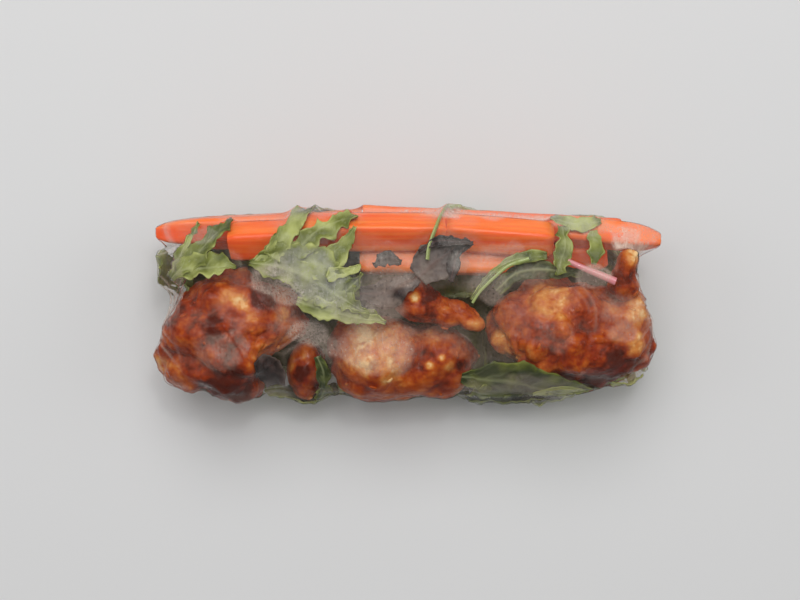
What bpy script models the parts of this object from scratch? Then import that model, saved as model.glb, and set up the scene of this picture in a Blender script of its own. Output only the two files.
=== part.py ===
"""A rice paper roll: batons of carrot, glazed chicken pieces and salad in a clear rice paper skin.

The roll lies along X on the plane z = 0. The carrots are on its +Y side and the chicken on its -Y
side. Every filling piece is its own solid, and the skin is a thin shell drawn tight over them all.
"""

import math

import bmesh
import bpy
import numpy as np
from mathutils import Matrix, Vector, noise
from mathutils.bvhtree import BVHTree

MM = 0.001

# Driving dimensions, in metres.
ROLL_LENGTH = 141 * MM
ROLL_WIDTH = 56 * MM
ROLL_HEIGHT = 39 * MM
PAPER_THICKNESS = 0.6 * MM
CLEARANCE = 0.35 * MM  # between any two pieces
BED_UNDERSIDE = PAPER_THICKNESS + 1.3 * CLEARANCE
BATON_SIDE = 7.6 * MM

# The skin's mesh: how many rings along the roll, and points round it.
SKIN_RINGS = 41
SKIN_POINTS = 34
SKIN_CORNER = 9 * MM  # radius where the tube turns into its ends
STRETCH_PASSES = 400
TUCK_HOLE = 3.0 * MM  # radius of the hole at each end, where the tucked-in paper doesn't quite close

CARROT_COLOUR = (0.90, 0.26, 0.06, 1)
CHICKEN_COLOUR = (0.40, 0.12, 0.03, 1)
SALAD_COLOUR = (0.22, 0.30, 0.09, 1)
PAPER_COLOUR = (0.80, 0.79, 0.75, 1)

# name: (one end, other end, width share, height share, turn in degrees, section left at each end)
# The ends are the centres of the end faces, in millimetres. The shares are of BATON_SIDE, and the
# last pair is the share of the full section that is left at each end.
CARROTS = {
    "carrot_left_tip": ((-68.8, 19.9, 18.6), (-13.0, 23.2, 17.6), 0.88, 0.90, 8, (0.62, 0.95)),
    "carrot_upper_left": ((-48.5, 17.4, 28.0), (-29.6, 18.4, 28.4), 1.09, 1.07, -55, (0.92, 0.94)),
    "carrot_top_middle": ((-28.5, 20.2, 28.2), (10.0, 20.0, 28.2), 1.10, 1.08, -55, (0.94, 0.84)),
    "carrot_back_long": ((-11.0, 23.9, 17.4), (59.6, 20.3, 16.8), 1.00, 1.00, -4, (0.95, 0.90)),
    "carrot_top_right": ((11.2, 20.2, 28.2), (40.0, 17.8, 28.4), 1.06, 1.04, -55, (0.90, 0.84)),
    "carrot_inner": ((-13.0, 11.7, 23.8), (29.0, 10.8, 23.2), 0.90, 0.86, -6, (0.85, 0.86)),
    "carrot_short": ((36.2, 12.9, 18.6), (55.6, 14.0, 21.2), 0.88, 0.88, 20, (0.92, 0.88)),
    "carrot_right_tip": ((42.4, 20.8, 27.2), (68.6, 18.0, 24.4), 0.90, 0.88, -20, (0.92, 0.60)),
    "carrot_low_back": ((-56.0, 20.0, 8.6), (56.0, 20.0, 8.2), 1.06, 1.05, 3, (0.85, 0.88)),
}

# name: (centre, lobes, how lumpy as a share of the radius, seed, segments round)
# A lobe is an ellipsoid: its offset from the centre and its radii. All in millimetres.
CHICKEN = {
    "chicken_left": (
        (-48.4, -7.4, 21.2),
        [((0, 0.5, 0), (18.6, 16.8, 16.0)), ((-5.5, -5, -4), (15, 11.5, 11)), ((4, -6, -1), (13, 13, 14))],
        0.07, 3, 21,
    ),
    "chicken_nugget": (
        (-26.7, -18.6, 13.4),
        [((0, 0, 0), (4.5, 8.2, 8.4))],
        0.09, 11, 14,
    ),
    "chicken_middle": (
        (-0.8, -15.0, 18.4),
        [((-7.5, 0, 0), (13.2, 11.6, 13.8)), ((6.5, -0.6, -1.8), (13.8, 10.2, 12.0))],
        0.06, 5, 21,
    ),
    "chicken_shard": (
        (7.6, 0.0, 29.2),
        [((-4.4, 1.4, 0.6), (6.0, 5.0, 3.6)), ((4.0, -1.8, -0.4), (10.5, 3.8, 3.0))],
        0.10, 8, 16,
    ),
    "chicken_right": (
        (45.2, -7.8, 21.0),
        [((-5.5, 0.8, 0.2), (17.2, 15.4, 16.4)), ((8.8, -1.0, -1.0), (14.6, 14.0, 14.2))],
        0.06, 21, 21,
    ),
    "chicken_finger": (
        (60.1, 8.9, 30.8),
        [((-0.6, -2.2, -0.6), (3.9, 5.6, 5.4)), ((0.8, 3.4, 1.9), (3.5, 4.9, 3.2))],
        0.08, 14, 14,
    ),
}

# The heap of salad: flat below, and filled up to the pieces above it, with a ridge between
# the carrots and the chicken. Its half length and half width, then heights from z = 0.
SALAD_HALF = (63.0 * MM, 22.0 * MM)
SALAD_MIDDLE = (-1.0 * MM, 0.5 * MM)
SALAD_EDGE_HEIGHT = 6.0 * MM
SALAD_BED_HEIGHT = 12.5 * MM
SALAD_RIDGE_HEIGHT = 27.5 * MM
SALAD_RIDGE = (5.0 * MM, 7.5 * MM)  # its middle and its half width across the roll
SALAD_LEAST_HEIGHT = 2.6 * MM
SALAD_FOOT_INSET = 2.8 * MM
SALAD_CELLS = (40, 14)
SALAD_CLEARANCE = 4.5 * CLEARANCE  # below the pieces that press on it
SALAD_SWELL = 5.6 * MM  # how far it swells out on the chicken's side
SALAD_SWELL_PLACE = (31.0 * MM, 20.0 * MM)  # middle and half length of that swelling, along the roll


def material(name, colour, roughness):
    """A Principled material in one colour."""
    made = bpy.data.materials.new(name)
    made.use_nodes = True
    shader = made.node_tree.nodes["Principled BSDF"]
    shader.inputs["Base Color"].default_value = colour
    shader.inputs["Roughness"].default_value = roughness
    shader.inputs["Metallic"].default_value = 0.0
    made.diffuse_color = colour
    return made


def object_of(name, shape, finish):
    """An object in the scene from a bmesh, which it frees."""
    bmesh.ops.recalc_face_normals(shape, faces=shape.faces)
    mesh = bpy.data.meshes.new(name)
    shape.to_mesh(mesh)
    shape.free()
    mesh.materials.append(finish)
    mesh.shade_smooth()
    made = bpy.data.objects.new(name, mesh)
    bpy.context.scene.collection.objects.link(made)
    return made


def baton(name, start, end, width, height, turn, ends, finish):
    """A hand-cut carrot baton: a chamfered bar, slightly bowed, and smaller at its ends."""
    start, end = Vector(start) * MM, Vector(end) * MM
    axis = (end - start).normalized()
    side = axis.cross(Vector((0, 0, 1))).normalized()
    up = side.cross(axis)
    roll = Matrix.Rotation(math.radians(turn), 3, axis)
    half_width, half_height = BATON_SIDE * width / 2, BATON_SIDE * height / 2
    chamfer = 0.42
    outline = [
        (sx * (1 - chamfer * (corner == 0)), sy * (1 - chamfer * (corner == 1)))
        for sx, sy, corners in ((1, 1, (1, 0)), (-1, 1, (0, 1)), (-1, -1, (1, 0)), (1, -1, (0, 1)))
        for corner in corners
    ]
    # Along the baton, and the share of the full section there.
    stations = [(0.0, ends[0]), (0.05, 0.97), (0.35, 1.0), (0.7, 0.98), (0.95, 0.96), (1.0, ends[1])]
    bow = 0.5 * MM
    shape = bmesh.new()
    rings = []
    for along, share in stations:
        middle = start.lerp(end, along) + up * bow * math.sin(math.pi * along)
        rings.append(
            [
                shape.verts.new(middle + roll @ (side * x * half_width + up * y * half_height) * share)
                for x, y in outline
            ]
        )
    count = len(outline)
    for near, far in zip(rings, rings[1:]):
        for i in range(count):
            shape.faces.new((near[i], near[(i + 1) % count], far[(i + 1) % count], far[i]))
    shape.faces.new(rings[0])
    shape.faces.new(rings[-1])
    return object_of(name, shape, finish)


def lobe_exit(direction, offset, radii):
    """How far a ray from the centre goes before it leaves an ellipsoid that holds the centre."""
    scaled_ray = np.array(direction) / radii
    scaled_offset = np.array(offset) / radii
    a, b = scaled_ray @ scaled_ray, scaled_ray @ scaled_offset
    c = scaled_offset @ scaled_offset - 1
    return (b + math.sqrt(b * b - a * c)) / a


def chunk(name, centre, lobes, lumpy, seed, segments, finish):
    """A piece of battered chicken: a few ellipsoids run together, with a lumpy crust."""
    shape = bmesh.new()
    bmesh.ops.create_uvsphere(shape, u_segments=segments, v_segments=segments * 4 // 7, radius=1)
    shift = Vector((seed, seed * 0.7, -seed * 1.3))
    blend_power = 7
    for vertex in shape.verts:
        way = vertex.co.normalized()
        reach = sum(lobe_exit(way, offset, radii) ** blend_power for offset, radii in lobes)
        lump = noise.noise(way * 2.2 + shift) + 0.5 * noise.noise(way * 5.0 - shift)
        vertex.co = (Vector(centre) + way * reach ** (1 / blend_power) * (1 + lumpy * lump)) * MM
    return object_of(name, shape, finish)


def joined(name, sources):
    """One hidden object with the meshes of several, for use as a cutter or as a guide."""
    shape = bmesh.new()
    for source in sources:
        shape.from_mesh(source.data)
    mesh = bpy.data.meshes.new(name)
    shape.to_mesh(mesh)
    shape.free()
    made = bpy.data.objects.new(name, mesh)
    bpy.context.scene.collection.objects.link(made)
    made.hide_render = True
    made.display_type = "WIRE"
    return made


def tree_of(source):
    """A search tree of an object's faces."""
    mesh = source.data
    return BVHTree.FromPolygons([v.co for v in mesh.vertices], [tuple(p.vertices) for p in mesh.polygons])


def salad_top(x, y, across):
    """The height of the salad where nothing presses on it; across is -1 to 1 over its width."""
    middle, half = SALAD_RIDGE
    ridge = math.exp(-abs((y - middle) / half) ** 3)
    edge = (1 - across**4) * (1 - abs(x / SALAD_HALF[0]) ** 8 * 0.5)
    height = SALAD_BED_HEIGHT + (SALAD_RIDGE_HEIGHT - SALAD_BED_HEIGHT) * ridge
    uneven = 1 + 0.10 * noise.noise(Vector((x, y, 0)) * 90)
    return SALAD_EDGE_HEIGHT + (height * uneven - SALAD_EDGE_HEIGHT) * max(edge, 0)


def salad(pieces, finish):
    """The heap of leaves, with the other fillings pressed into it."""
    above = tree_of(joined("salad_guide", pieces))
    half_long, half_wide = SALAD_HALF
    columns, rows = SALAD_CELLS
    reach = 1.4 * max(half_long / columns, half_wide / rows)
    nudges = [Vector((i, j, 0)) * reach for i in (-1, 0, 1) for j in (-1, 0, 1)]
    shape = bmesh.new()
    grid = []
    for i in range(columns + 1):
        along = 2 * i / columns - 1
        squeeze = (1 - 0.8 * abs(along) ** 6) ** 0.33
        x = SALAD_MIDDLE[0] + half_long * along
        swell = SALAD_SWELL * math.exp(-(((x - SALAD_SWELL_PLACE[0]) / SALAD_SWELL_PLACE[1]) ** 4))
        line = []
        for j in range(rows + 1):
            across = 2 * j / rows - 1
            wavy = 1 + 0.05 * noise.noise(Vector((along * 5, across * 2, 3)))
            y = SALAD_MIDDLE[1] + half_wide * across * squeeze * wavy - swell * max(-across, 0) ** 2
            top = salad_top(x, y, across)
            for nudge in nudges:
                start = Vector((x, y, 0)) + nudge
                hit = above.ray_cast(start, Vector((0, 0, 1)))[0]
                if hit is not None:
                    top = min(top, hit.z - SALAD_CLEARANCE)
            line.append(shape.verts.new((x, y, max(top, SALAD_LEAST_HEIGHT))))
        grid.append(line)
    for near, far in zip(grid, grid[1:]):
        for j in range(rows):
            shape.faces.new((near[j], far[j], far[j + 1], near[j + 1]))
    # Down to the flat underside, which is a little narrower.
    far_side = [line[-1] for line in grid[:-1]]
    near_side = [line[0] for line in grid[:0:-1]]
    rim = grid[0][:-1] + far_side + grid[-1][:0:-1] + near_side
    foot = []
    for before, here, after in zip(rim[-1:] + rim[:-1], rim, rim[1:] + rim[:1]):
        along = (after.co - before.co).to_2d().normalized()
        foot.append(
            shape.verts.new(
                (
                    here.co.x + SALAD_FOOT_INSET * along.y,
                    here.co.y - SALAD_FOOT_INSET * along.x,
                    BED_UNDERSIDE,
                )
            )
        )
    for i in range(len(rim)):
        j = (i + 1) % len(rim)
        shape.faces.new((rim[i], foot[i], foot[j], rim[j]))
    shape.faces.new(foot)
    return object_of("salad_leaves", shape, finish)


def skin_frame():
    """A rounded tube with closed ends about the roll, as arrays: places and outward directions.

    The arrays are rings by points by xyz. The skin is this tube, moved in along those directions.
    """
    half_wide, half_high = ROLL_WIDTH / 2, ROLL_HEIGHT / 2
    corner = SKIN_CORNER
    reach = half_high
    flat_end, tube = reach - corner - TUCK_HOLE, ROLL_LENGTH - 2 * corner
    turn_length = math.pi / 2 * corner
    path = 2 * (flat_end + turn_length) + tube
    places, ways = [], []
    for ring in range(SKIN_RINGS):
        along = path * ring / (SKIN_RINGS - 1)
        side = -1 if along < path / 2 else 1
        along = min(along, path - along)
        if along < flat_end:
            x, share, tilt = ROLL_LENGTH / 2, (TUCK_HOLE + along) / reach, math.pi / 2
        elif along < flat_end + turn_length:
            tilt = math.pi / 2 - (along - flat_end) / corner
            x = ROLL_LENGTH / 2 - corner * (1 - math.sin(tilt))
            share = (reach - corner + corner * math.cos(tilt)) / reach
        else:
            x, share, tilt = ROLL_LENGTH / 2 - corner - (along - flat_end - turn_length), 1.0, 0.0
        for point in range(SKIN_POINTS):
            angle = 2 * math.pi * point / SKIN_POINTS
            wide, high = math.cos(angle), math.sin(angle)
            places.append((side * x, share * half_wide * wide, half_high + share * half_high * high))
            outwards = Vector((0, wide / half_wide, high / half_high)).normalized()
            ways.append(outwards * math.cos(tilt) + Vector((side * math.sin(tilt), 0, 0)))
    grid = (SKIN_RINGS, SKIN_POINTS, 3)
    return np.array(places).reshape(grid), np.array(ways).reshape(grid)


def filling_heights(places, ways, fillings):
    """How far each of the skin's points must stay out along its way, to clear the fillings."""
    tree = tree_of(fillings)
    far, spread = 40 * MM, 1.8 * MM
    heights = np.full(places.shape[:2], -far)
    for ring in range(SKIN_RINGS):
        for point in range(SKIN_POINTS):
            way = Vector(ways[ring, point])
            across = way.orthogonal().normalized()
            beside = way.cross(across)
            for step in range(9):
                shift = Vector()
                if step:
                    angle = step * math.pi / 4
                    shift = (across * math.cos(angle) + beside * math.sin(angle)) * spread
                start = Vector(places[ring, point]) + shift + way * far
                hit, _normal, _face, distance = tree.ray_cast(start, -way, 2 * far)
                if hit is not None:
                    heights[ring, point] = max(heights[ring, point], far - distance)
    return heights


def stretched(places, ways, least, most, start):
    """The heights of a film under even tension which stays between two limits."""
    heights = start
    for _ in range(STRETCH_PASSES):
        film = places + ways * heights[..., None]
        lengthwise = np.concatenate((film[1:2], film, film[-2:-1]))
        neighbours = (
            lengthwise[:-2] + lengthwise[2:] + np.roll(film, 1, axis=1) + np.roll(film, -1, axis=1)
        ) / 4
        heights = heights + 0.9 * ((neighbours - film) * ways).sum(axis=2)
        for rim, inside in ((0, 1), (-1, -2)):
            heights[rim] = heights[inside].mean()
        heights = np.minimum(np.maximum(heights, least), most)
    return heights


def too_close(film, fillings, gap):
    """How much further out each of the film's points must be, for its faces to clear the fillings."""
    rings, points = film.shape[:2]
    faces = []
    for near in range(0, (rings - 1) * points, points):
        for here in range(points):
            after = (here + 1) % points
            faces.append((near + here, near + after, near + points + after, near + points + here))
    tree = BVHTree.FromPolygons([Vector(p) for p in film.reshape(-1, 3)], faces)
    short = np.zeros(rings * points)
    for face in fillings.data.polygons:
        corners = [fillings.data.vertices[i].co for i in face.vertices]
        centre = sum(corners, Vector()) / len(corners)
        for spot in (*corners, centre, *((c + centre) / 2 for c in corners)):
            place, normal, index, _distance = tree.find_nearest(spot)
            if normal.dot(place - Vector((place.x * 0.9, 0, ROLL_HEIGHT / 2))) < 0:
                normal = -normal
            missing = gap - (place - spot).dot(normal)
            if missing > 0:
                for corner in faces[index]:
                    short[corner] = max(short[corner], missing)
    return short.reshape(rings, points)


def rice_paper(pieces, finish):
    """The clear skin: a thin shell drawn tight over the fillings, flat where it rests."""
    fillings = joined("fillings_guide", pieces)
    places, ways = skin_frame()
    gap = PAPER_THICKNESS + 1.3 * CLEARANCE
    least = filling_heights(places, ways, fillings) + gap
    # Nothing may go through the table.
    down = np.minimum(ways[..., 2], -1e-3)
    most = np.where(ways[..., 2] < -0.01, -places[..., 2] / down, 1.0)
    heights = stretched(places, ways, np.minimum(least, most), most, np.maximum(least, 0))
    for _ in range(24):
        film = places + ways * heights[..., None]
        short = too_close(film, fillings, gap)
        if short.max() <= 0:
            break
        least = np.maximum(least, np.where(short > 0, heights + short, -1))
        heights = stretched(places, ways, np.minimum(least, most), most, heights)
    film = places + ways * heights[..., None]

    shape = bmesh.new()
    corners = [[shape.verts.new(spot) for spot in ring] for ring in film]
    for near, far in zip(corners, corners[1:]):
        for i in range(SKIN_POINTS):
            j = (i + 1) % SKIN_POINTS
            shape.faces.new((near[i], near[j], far[j], far[i]))
    skin = object_of("rice_paper", shape, finish)
    shell = skin.modifiers.new("Thickness", "SOLIDIFY")
    shell.thickness = PAPER_THICKNESS
    shell.offset = -1
    return skin


def clear_scene():
    """Removes whatever the scene holds."""
    for old in list(bpy.data.objects):
        bpy.data.objects.remove(old)


def main():
    """Builds every piece of the roll."""
    clear_scene()
    carrot = material("carrot", CARROT_COLOUR, 0.4)
    chicken = material("chicken", CHICKEN_COLOUR, 0.35)
    leaves = material("leaves", SALAD_COLOUR, 0.6)
    paper = material("rice_paper", PAPER_COLOUR, 0.3)
    pieces = [baton(name, *numbers, carrot) for name, numbers in CARROTS.items()]
    pieces += [chunk(name, *numbers, chicken) for name, numbers in CHICKEN.items()]
    pieces.append(salad(pieces, leaves))
    rice_paper(pieces, paper)


main()
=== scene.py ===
"""The looks of a rice paper roll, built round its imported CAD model.

The roll lies along X. Carrot batons run along its back (+Y), glazed battered chicken along its
front (-Y), and salad leaves fill what is left. A clear rice paper skin is drawn tight over it all:
it is stretched over the fillings that the other classes make, so it is always made last.
"""

from __future__ import annotations

import logging
import math
from collections.abc import Sequence
from dataclasses import dataclass, field
from enum import Enum

import bmesh
import bpy
import numpy as np
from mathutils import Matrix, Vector
from mathutils.bvhtree import BVHTree

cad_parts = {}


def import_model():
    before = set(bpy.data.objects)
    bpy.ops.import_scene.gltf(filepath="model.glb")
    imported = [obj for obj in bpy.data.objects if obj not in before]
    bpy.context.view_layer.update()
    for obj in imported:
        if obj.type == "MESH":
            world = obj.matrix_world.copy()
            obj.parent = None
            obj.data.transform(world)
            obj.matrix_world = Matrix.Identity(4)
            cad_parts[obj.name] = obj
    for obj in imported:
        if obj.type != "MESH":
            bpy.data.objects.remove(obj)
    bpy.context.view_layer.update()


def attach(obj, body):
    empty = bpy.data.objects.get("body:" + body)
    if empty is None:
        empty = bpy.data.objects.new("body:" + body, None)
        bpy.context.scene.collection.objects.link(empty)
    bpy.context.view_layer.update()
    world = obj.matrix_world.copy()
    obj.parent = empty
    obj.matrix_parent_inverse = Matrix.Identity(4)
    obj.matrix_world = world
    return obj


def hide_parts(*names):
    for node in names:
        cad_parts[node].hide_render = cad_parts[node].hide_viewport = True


MM = 0.001
log = logging.getLogger("rice_paper_roll")

Colour = tuple[float, float, float]
Place = tuple[float, float, float]
Spot = tuple[float, float]

ROLL_MIDDLE = 19.5  # the height of the roll's own axis, in millimetres


# ---------------------------------------------------------------------------------------------
# Node trees
# ---------------------------------------------------------------------------------------------


class Link:
    """An output socket in a node tree, which takes part in Python's arithmetic."""

    def __init__(self, tree: NodeTree, socket: bpy.types.NodeSocket) -> None:
        """Wraps a socket.

        Args:
            tree: The tree that the socket's node is in.
            socket: The output socket.
        """
        self.tree = tree
        self.socket = socket

    def _maths(self, operation: str, *values: Link | float) -> Link:
        """Adds a Math node and returns its result."""
        return self.tree.add("ShaderNodeMath", {"operation": operation}, dict(enumerate(values)))

    def __add__(self, other: Link | float) -> Link:
        """This value plus another."""
        return self._maths("ADD", self, other)

    __radd__ = __add__

    def __sub__(self, other: Link | float) -> Link:
        """This value less another."""
        return self._maths("SUBTRACT", self, other)

    def __rsub__(self, other: float) -> Link:
        """A number less this value."""
        return self._maths("SUBTRACT", other, self)

    def __mul__(self, other: Link | float) -> Link:
        """This value times another."""
        return self._maths("MULTIPLY", self, other)

    __rmul__ = __mul__

    def __truediv__(self, other: Link | float) -> Link:
        """This value over another."""
        return self._maths("DIVIDE", self, other)

    def __rtruediv__(self, other: float) -> Link:
        """A number over this value."""
        return self._maths("DIVIDE", other, self)

    def __abs__(self) -> Link:
        """This value without its sign."""
        return self._maths("ABSOLUTE", self)

    def sine(self) -> Link:
        """The sine of this value."""
        return self._maths("SINE", self)

    def clamped(self) -> Link:
        """This value, kept from 0 to 1."""
        return self.tree.add("ShaderNodeClamp", {}, {"Value": self})

    def smooth_step(self, low: float, high: float) -> Link:
        """0 below one value, 1 above another, and a smooth rise between them.

        Args:
            low: Where the rise starts.
            high: Where it ends.

        Returns:
            The share.
        """
        return self.tree.add(
            "ShaderNodeMapRange",
            {"interpolation_type": "SMOOTHSTEP"},
            {"Value": self, "From Min": low, "From Max": high},
        )


class NodeTree:
    """A shader or geometry tree with one way to add a node."""

    def __init__(self, tree: bpy.types.NodeTree) -> None:
        """Wraps a tree and empties it.

        Args:
            tree: The tree to build in.
        """
        self.tree = tree
        tree.nodes.clear()

    def add(
        self,
        kind: str,
        settings: dict[str, object] | None = None,
        inputs: dict[str | int, object] | None = None,
        output: str | int = 0,
    ) -> Link:
        """Adds a node.

        Args:
            kind: The node's type.
            settings: Its properties, set first. "stops" are a ramp's (position, colour) pairs.
            inputs: Values or links of its sockets, by name or number.
            output: The output to return, by name or number.

        Returns:
            The chosen output.
        """
        node = self.tree.nodes.new(kind)
        for name, value in (settings or {}).items():
            if name == "stops":
                self._set_stops(node.color_ramp, value)
            else:
                setattr(node, name, value)
        for name, value in (inputs or {}).items():
            if isinstance(value, Link):
                self.tree.links.new(value.socket, node.inputs[name])
            elif value is not None:
                node.inputs[name].default_value = value
        return Link(self, node.outputs[output]) if len(node.outputs) else Link(self, None)

    @staticmethod
    def _set_stops(ramp: bpy.types.ColorRamp, stops: Sequence[tuple[float, Colour]]) -> None:
        """Gives a colour ramp its stops.

        Args:
            ramp: The ramp, with its first two stops.
            stops: Pairs of a position and a colour.
        """
        while len(ramp.elements) < len(stops):
            ramp.elements.new(1.0)
        for element, (position, colour) in zip(ramp.elements, stops):
            element.position = position
            element.color = (*colour, 1.0)

    def attribute(self, name: str) -> Link:
        """A number stored on the mesh."""
        return self.add("ShaderNodeAttribute", {"attribute_name": name}, output="Fac")

    def mixed(self, factor: Link | float, a: Link | Colour, b: Link | Colour) -> Link:
        """A mix of two colours.

        Args:
            factor: How much of b shows.
            a: The first colour.
            b: The second colour.

        Returns:
            The mixed colour.
        """
        a, b = (c if isinstance(c, Link) else (*c, 1.0) for c in (a, b))
        return self.add(
            "ShaderNodeMix", {"data_type": "RGBA"}, {0: factor, 6: a, 7: b}, output=2
        )

    def vectors(self, operation: str, *values: object, output: str | int = 0) -> Link:
        """The result of a Vector Math node.

        Args:
            operation: The node's operation.
            *values: Its inputs in order; a Scale's second one is its number.
            output: The output to return, by name or number.

        Returns:
            The chosen output.
        """
        if operation == "SCALE":
            return self.add(
                "ShaderNodeVectorMath", {"operation": operation}, {0: values[0], "Scale": values[1]}
            )
        return self.add("ShaderNodeVectorMath", {"operation": operation}, dict(enumerate(values)), output)


class Material(NodeTree):
    """A material under construction, with what its patterns need."""

    def __init__(self, name: str) -> None:
        """Makes an empty material.

        Args:
            name: Its name.
        """
        self.material = bpy.data.materials.new(name)
        self.material.use_nodes = True
        super().__init__(self.material.node_tree)
        self.place = self.add("ShaderNodeTexCoord", output="Object")

    def noise(
        self, scale: float, detail: float = 3.0, stretch: Place = (1.0, 1.0, 1.0), turn: float = 0.0
    ) -> Link:
        """Soft noise from 0 to 1 on the object's own coordinates.

        Args:
            scale: How many blotches to a metre.
            detail: How many finer octaves it has.
            stretch: The scale on each axis.
            turn: How far the pattern is turned about Z, in degrees.

        Returns:
            The noise.
        """
        place = self.place
        if stretch != (1.0, 1.0, 1.0) or turn:
            inputs = {"Vector": place, "Rotation": (0.0, 0.0, math.radians(turn)), "Scale": stretch}
            place = self.add("ShaderNodeMapping", {}, inputs)
        inputs = {"Vector": place, "Scale": scale, "Detail": detail, "Roughness": 0.55}
        return self.add("ShaderNodeTexNoise", {}, inputs, "Fac")

    def bump(self, height: Link, strength: float, distance: float) -> Link:
        """A normal that a height tilts.

        Args:
            height: The height, from 0 to 1.
            strength: How much of the tilt shows.
            distance: What a height of 1 stands for, in metres.

        Returns:
            The normal.
        """
        return self.add(
            "ShaderNodeBump", {}, {"Height": height, "Strength": strength, "Distance": distance}
        )

    def principled(self, **sockets: object) -> Link:
        """Adds a Principled shader.

        Args:
            **sockets: Its inputs, named with underscores for spaces.

        Returns:
            The shader.
        """
        return self.add(
            "ShaderNodeBsdfPrincipled", {}, {k.replace("_", " "): v for k, v in sockets.items()}
        )

    def finish(self, surface: Link) -> bpy.types.Material:
        """Links the surface to the output.

        Args:
            surface: The last shader.

        Returns:
            The material.
        """
        self.add("ShaderNodeOutputMaterial", {}, {"Surface": surface})
        return self.material


class Shape(NodeTree):
    """A Geometry Nodes tree under construction, with named inputs."""

    def __init__(self, name: str) -> None:
        """Makes an empty tree that takes and gives a mesh.

        Args:
            name: Its name.
        """
        tree = bpy.data.node_groups.new(name, "GeometryNodeTree")
        super().__init__(tree)
        tree.interface.new_socket("Geometry", in_out="INPUT", socket_type="NodeSocketGeometry")
        tree.interface.new_socket("Geometry", in_out="OUTPUT", socket_type="NodeSocketGeometry")
        self.inputs = tree.nodes.new("NodeGroupInput")

    def input(self, name: str, kind: str = "Float") -> Link:
        """Adds a named input to the tree.

        Args:
            name: The input's name.
            kind: Float, Int, Vector or Material.

        Returns:
            The input, for use inside the tree.
        """
        self.tree.interface.new_socket(name, in_out="INPUT", socket_type="NodeSocket" + kind)
        return Link(self, self.inputs.outputs[name])

    @property
    def geometry(self) -> Link:
        """The mesh that comes in."""
        return Link(self, self.inputs.outputs["Geometry"])

    def moved(self, geometry: Link, offset: Link) -> Link:
        """The geometry with its points moved by an offset."""
        return self.add("GeometryNodeSetPosition", {}, {"Geometry": geometry, "Offset": offset})

    def stored(self, geometry: Link, name: str, value: Link | float, domain: str = "POINT") -> Link:
        """The geometry with a number stored on it.

        Args:
            geometry: What to store it on.
            name: The attribute's name.
            value: The number.
            domain: What carries it.

        Returns:
            The geometry.
        """
        return self.add(
            "GeometryNodeStoreNamedAttribute",
            {"data_type": "FLOAT", "domain": domain},
            {"Geometry": geometry, "Name": name, "Value": value},
        )

    def noise(
        self, place: Link, scale: Link | float, detail: float = 2.0, seed: Link | float = 0.0
    ) -> Link:
        """Soft noise from -1 to 1.

        Args:
            place: Where it is read.
            scale: How many blotches to a metre.
            detail: How many finer octaves it has.
            seed: Which of many such patterns it is.

        Returns:
            The noise.
        """
        fac = self.add(
            "ShaderNodeTexNoise",
            {"noise_dimensions": "4D"},
            {"Vector": place, "W": seed, "Scale": scale, "Detail": detail, "Roughness": 0.5},
            "Fac",
        )
        return fac * 2.0 - 1.0

    def finish(self, geometry: Link, material: Link) -> None:
        """Ends the tree in Realize Instances and Set Material.

        Args:
            geometry: The finished geometry.
            material: The material that it gets.
        """
        real = self.add("GeometryNodeRealizeInstances", {}, {"Geometry": geometry})
        dressed = self.add("GeometryNodeSetMaterial", {}, {"Geometry": real, "Material": material})
        self.add("NodeGroupOutput", {}, {"Geometry": dressed})

    def apply(self, name: str, mesh: bpy.types.Mesh, values: dict[str, object]) -> bpy.types.Object:
        """Runs the tree on a mesh.

        Args:
            name: The new object's name.
            mesh: What the tree starts from.
            values: The tree's named inputs.

        Returns:
            An object with the result as a plain mesh, and no modifier.
        """
        made = linked(name, mesh)
        modifier = made.modifiers.new(self.tree.name, "NODES")
        modifier.node_group = self.tree
        keys = {
            item.name: item.identifier
            for item in self.tree.interface.items_tree
            if item.in_out == "INPUT" and item.name in values
        }
        for key, value in values.items():
            modifier[keys[key]] = value
        bpy.context.view_layer.update()
        graph = bpy.context.evaluated_depsgraph_get()
        plain = bpy.data.meshes.new_from_object(made.evaluated_get(graph), depsgraph=graph)
        plain.name = name
        made.modifiers.remove(modifier)
        made.data = plain
        plain.shade_smooth()
        return made


# ---------------------------------------------------------------------------------------------
# Finishes
# ---------------------------------------------------------------------------------------------


@dataclass(frozen=True)
class CarrotFlesh:
    """Wet cut carrot: orange, with fine fibres along it and a paler cut across it."""

    bright: Colour = (1.0, 0.245, 0.038)
    deep: Colour = (0.90, 0.110, 0.016)
    core: Colour = (0.97, 0.33, 0.09)
    fibres: float = 900.0

    def material(self) -> bpy.types.Material:
        """Returns the material, which reads the mesh's "cut", "tint" and "front"; "front" is painted shade
        on a baton's front half.
        """
        m = Material("carrot_flesh")
        blotches = m.noise(70.0, 2.0, (0.35, 1.0, 1.0))
        strands = m.noise(self.fibres, 2.0, (0.03, 1.0, 1.0))
        bands = m.noise(240.0, 1.0, (0.05, 1.0, 1.0))
        shade = blotches * 0.7 + (strands - 0.5) * 1.6 + (bands - 0.5) * 2.0 + m.attribute("tint") - 0.1
        # Painted shade: a baton's front half, which faces away from the key light, is darkened towards the
        # deep colour.
        shade = (shade - m.attribute("front") * 0.75).clamped()
        colour = m.mixed(shade, self.deep, self.bright)
        colour = m.mixed(m.attribute("cut") * 0.6, colour, self.core)
        grain = strands * 0.7 + m.noise(350.0, 3.0) * 0.3
        return m.finish(
            m.principled(
                Base_Color=colour,
                Roughness=0.34,
                Normal=m.bump(grain, 0.35, 0.25 * MM),
                Specular_IOR_Level=0.3,
                Coat_Weight=0.15,
                Coat_Roughness=0.15,
            )
        )


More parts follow.
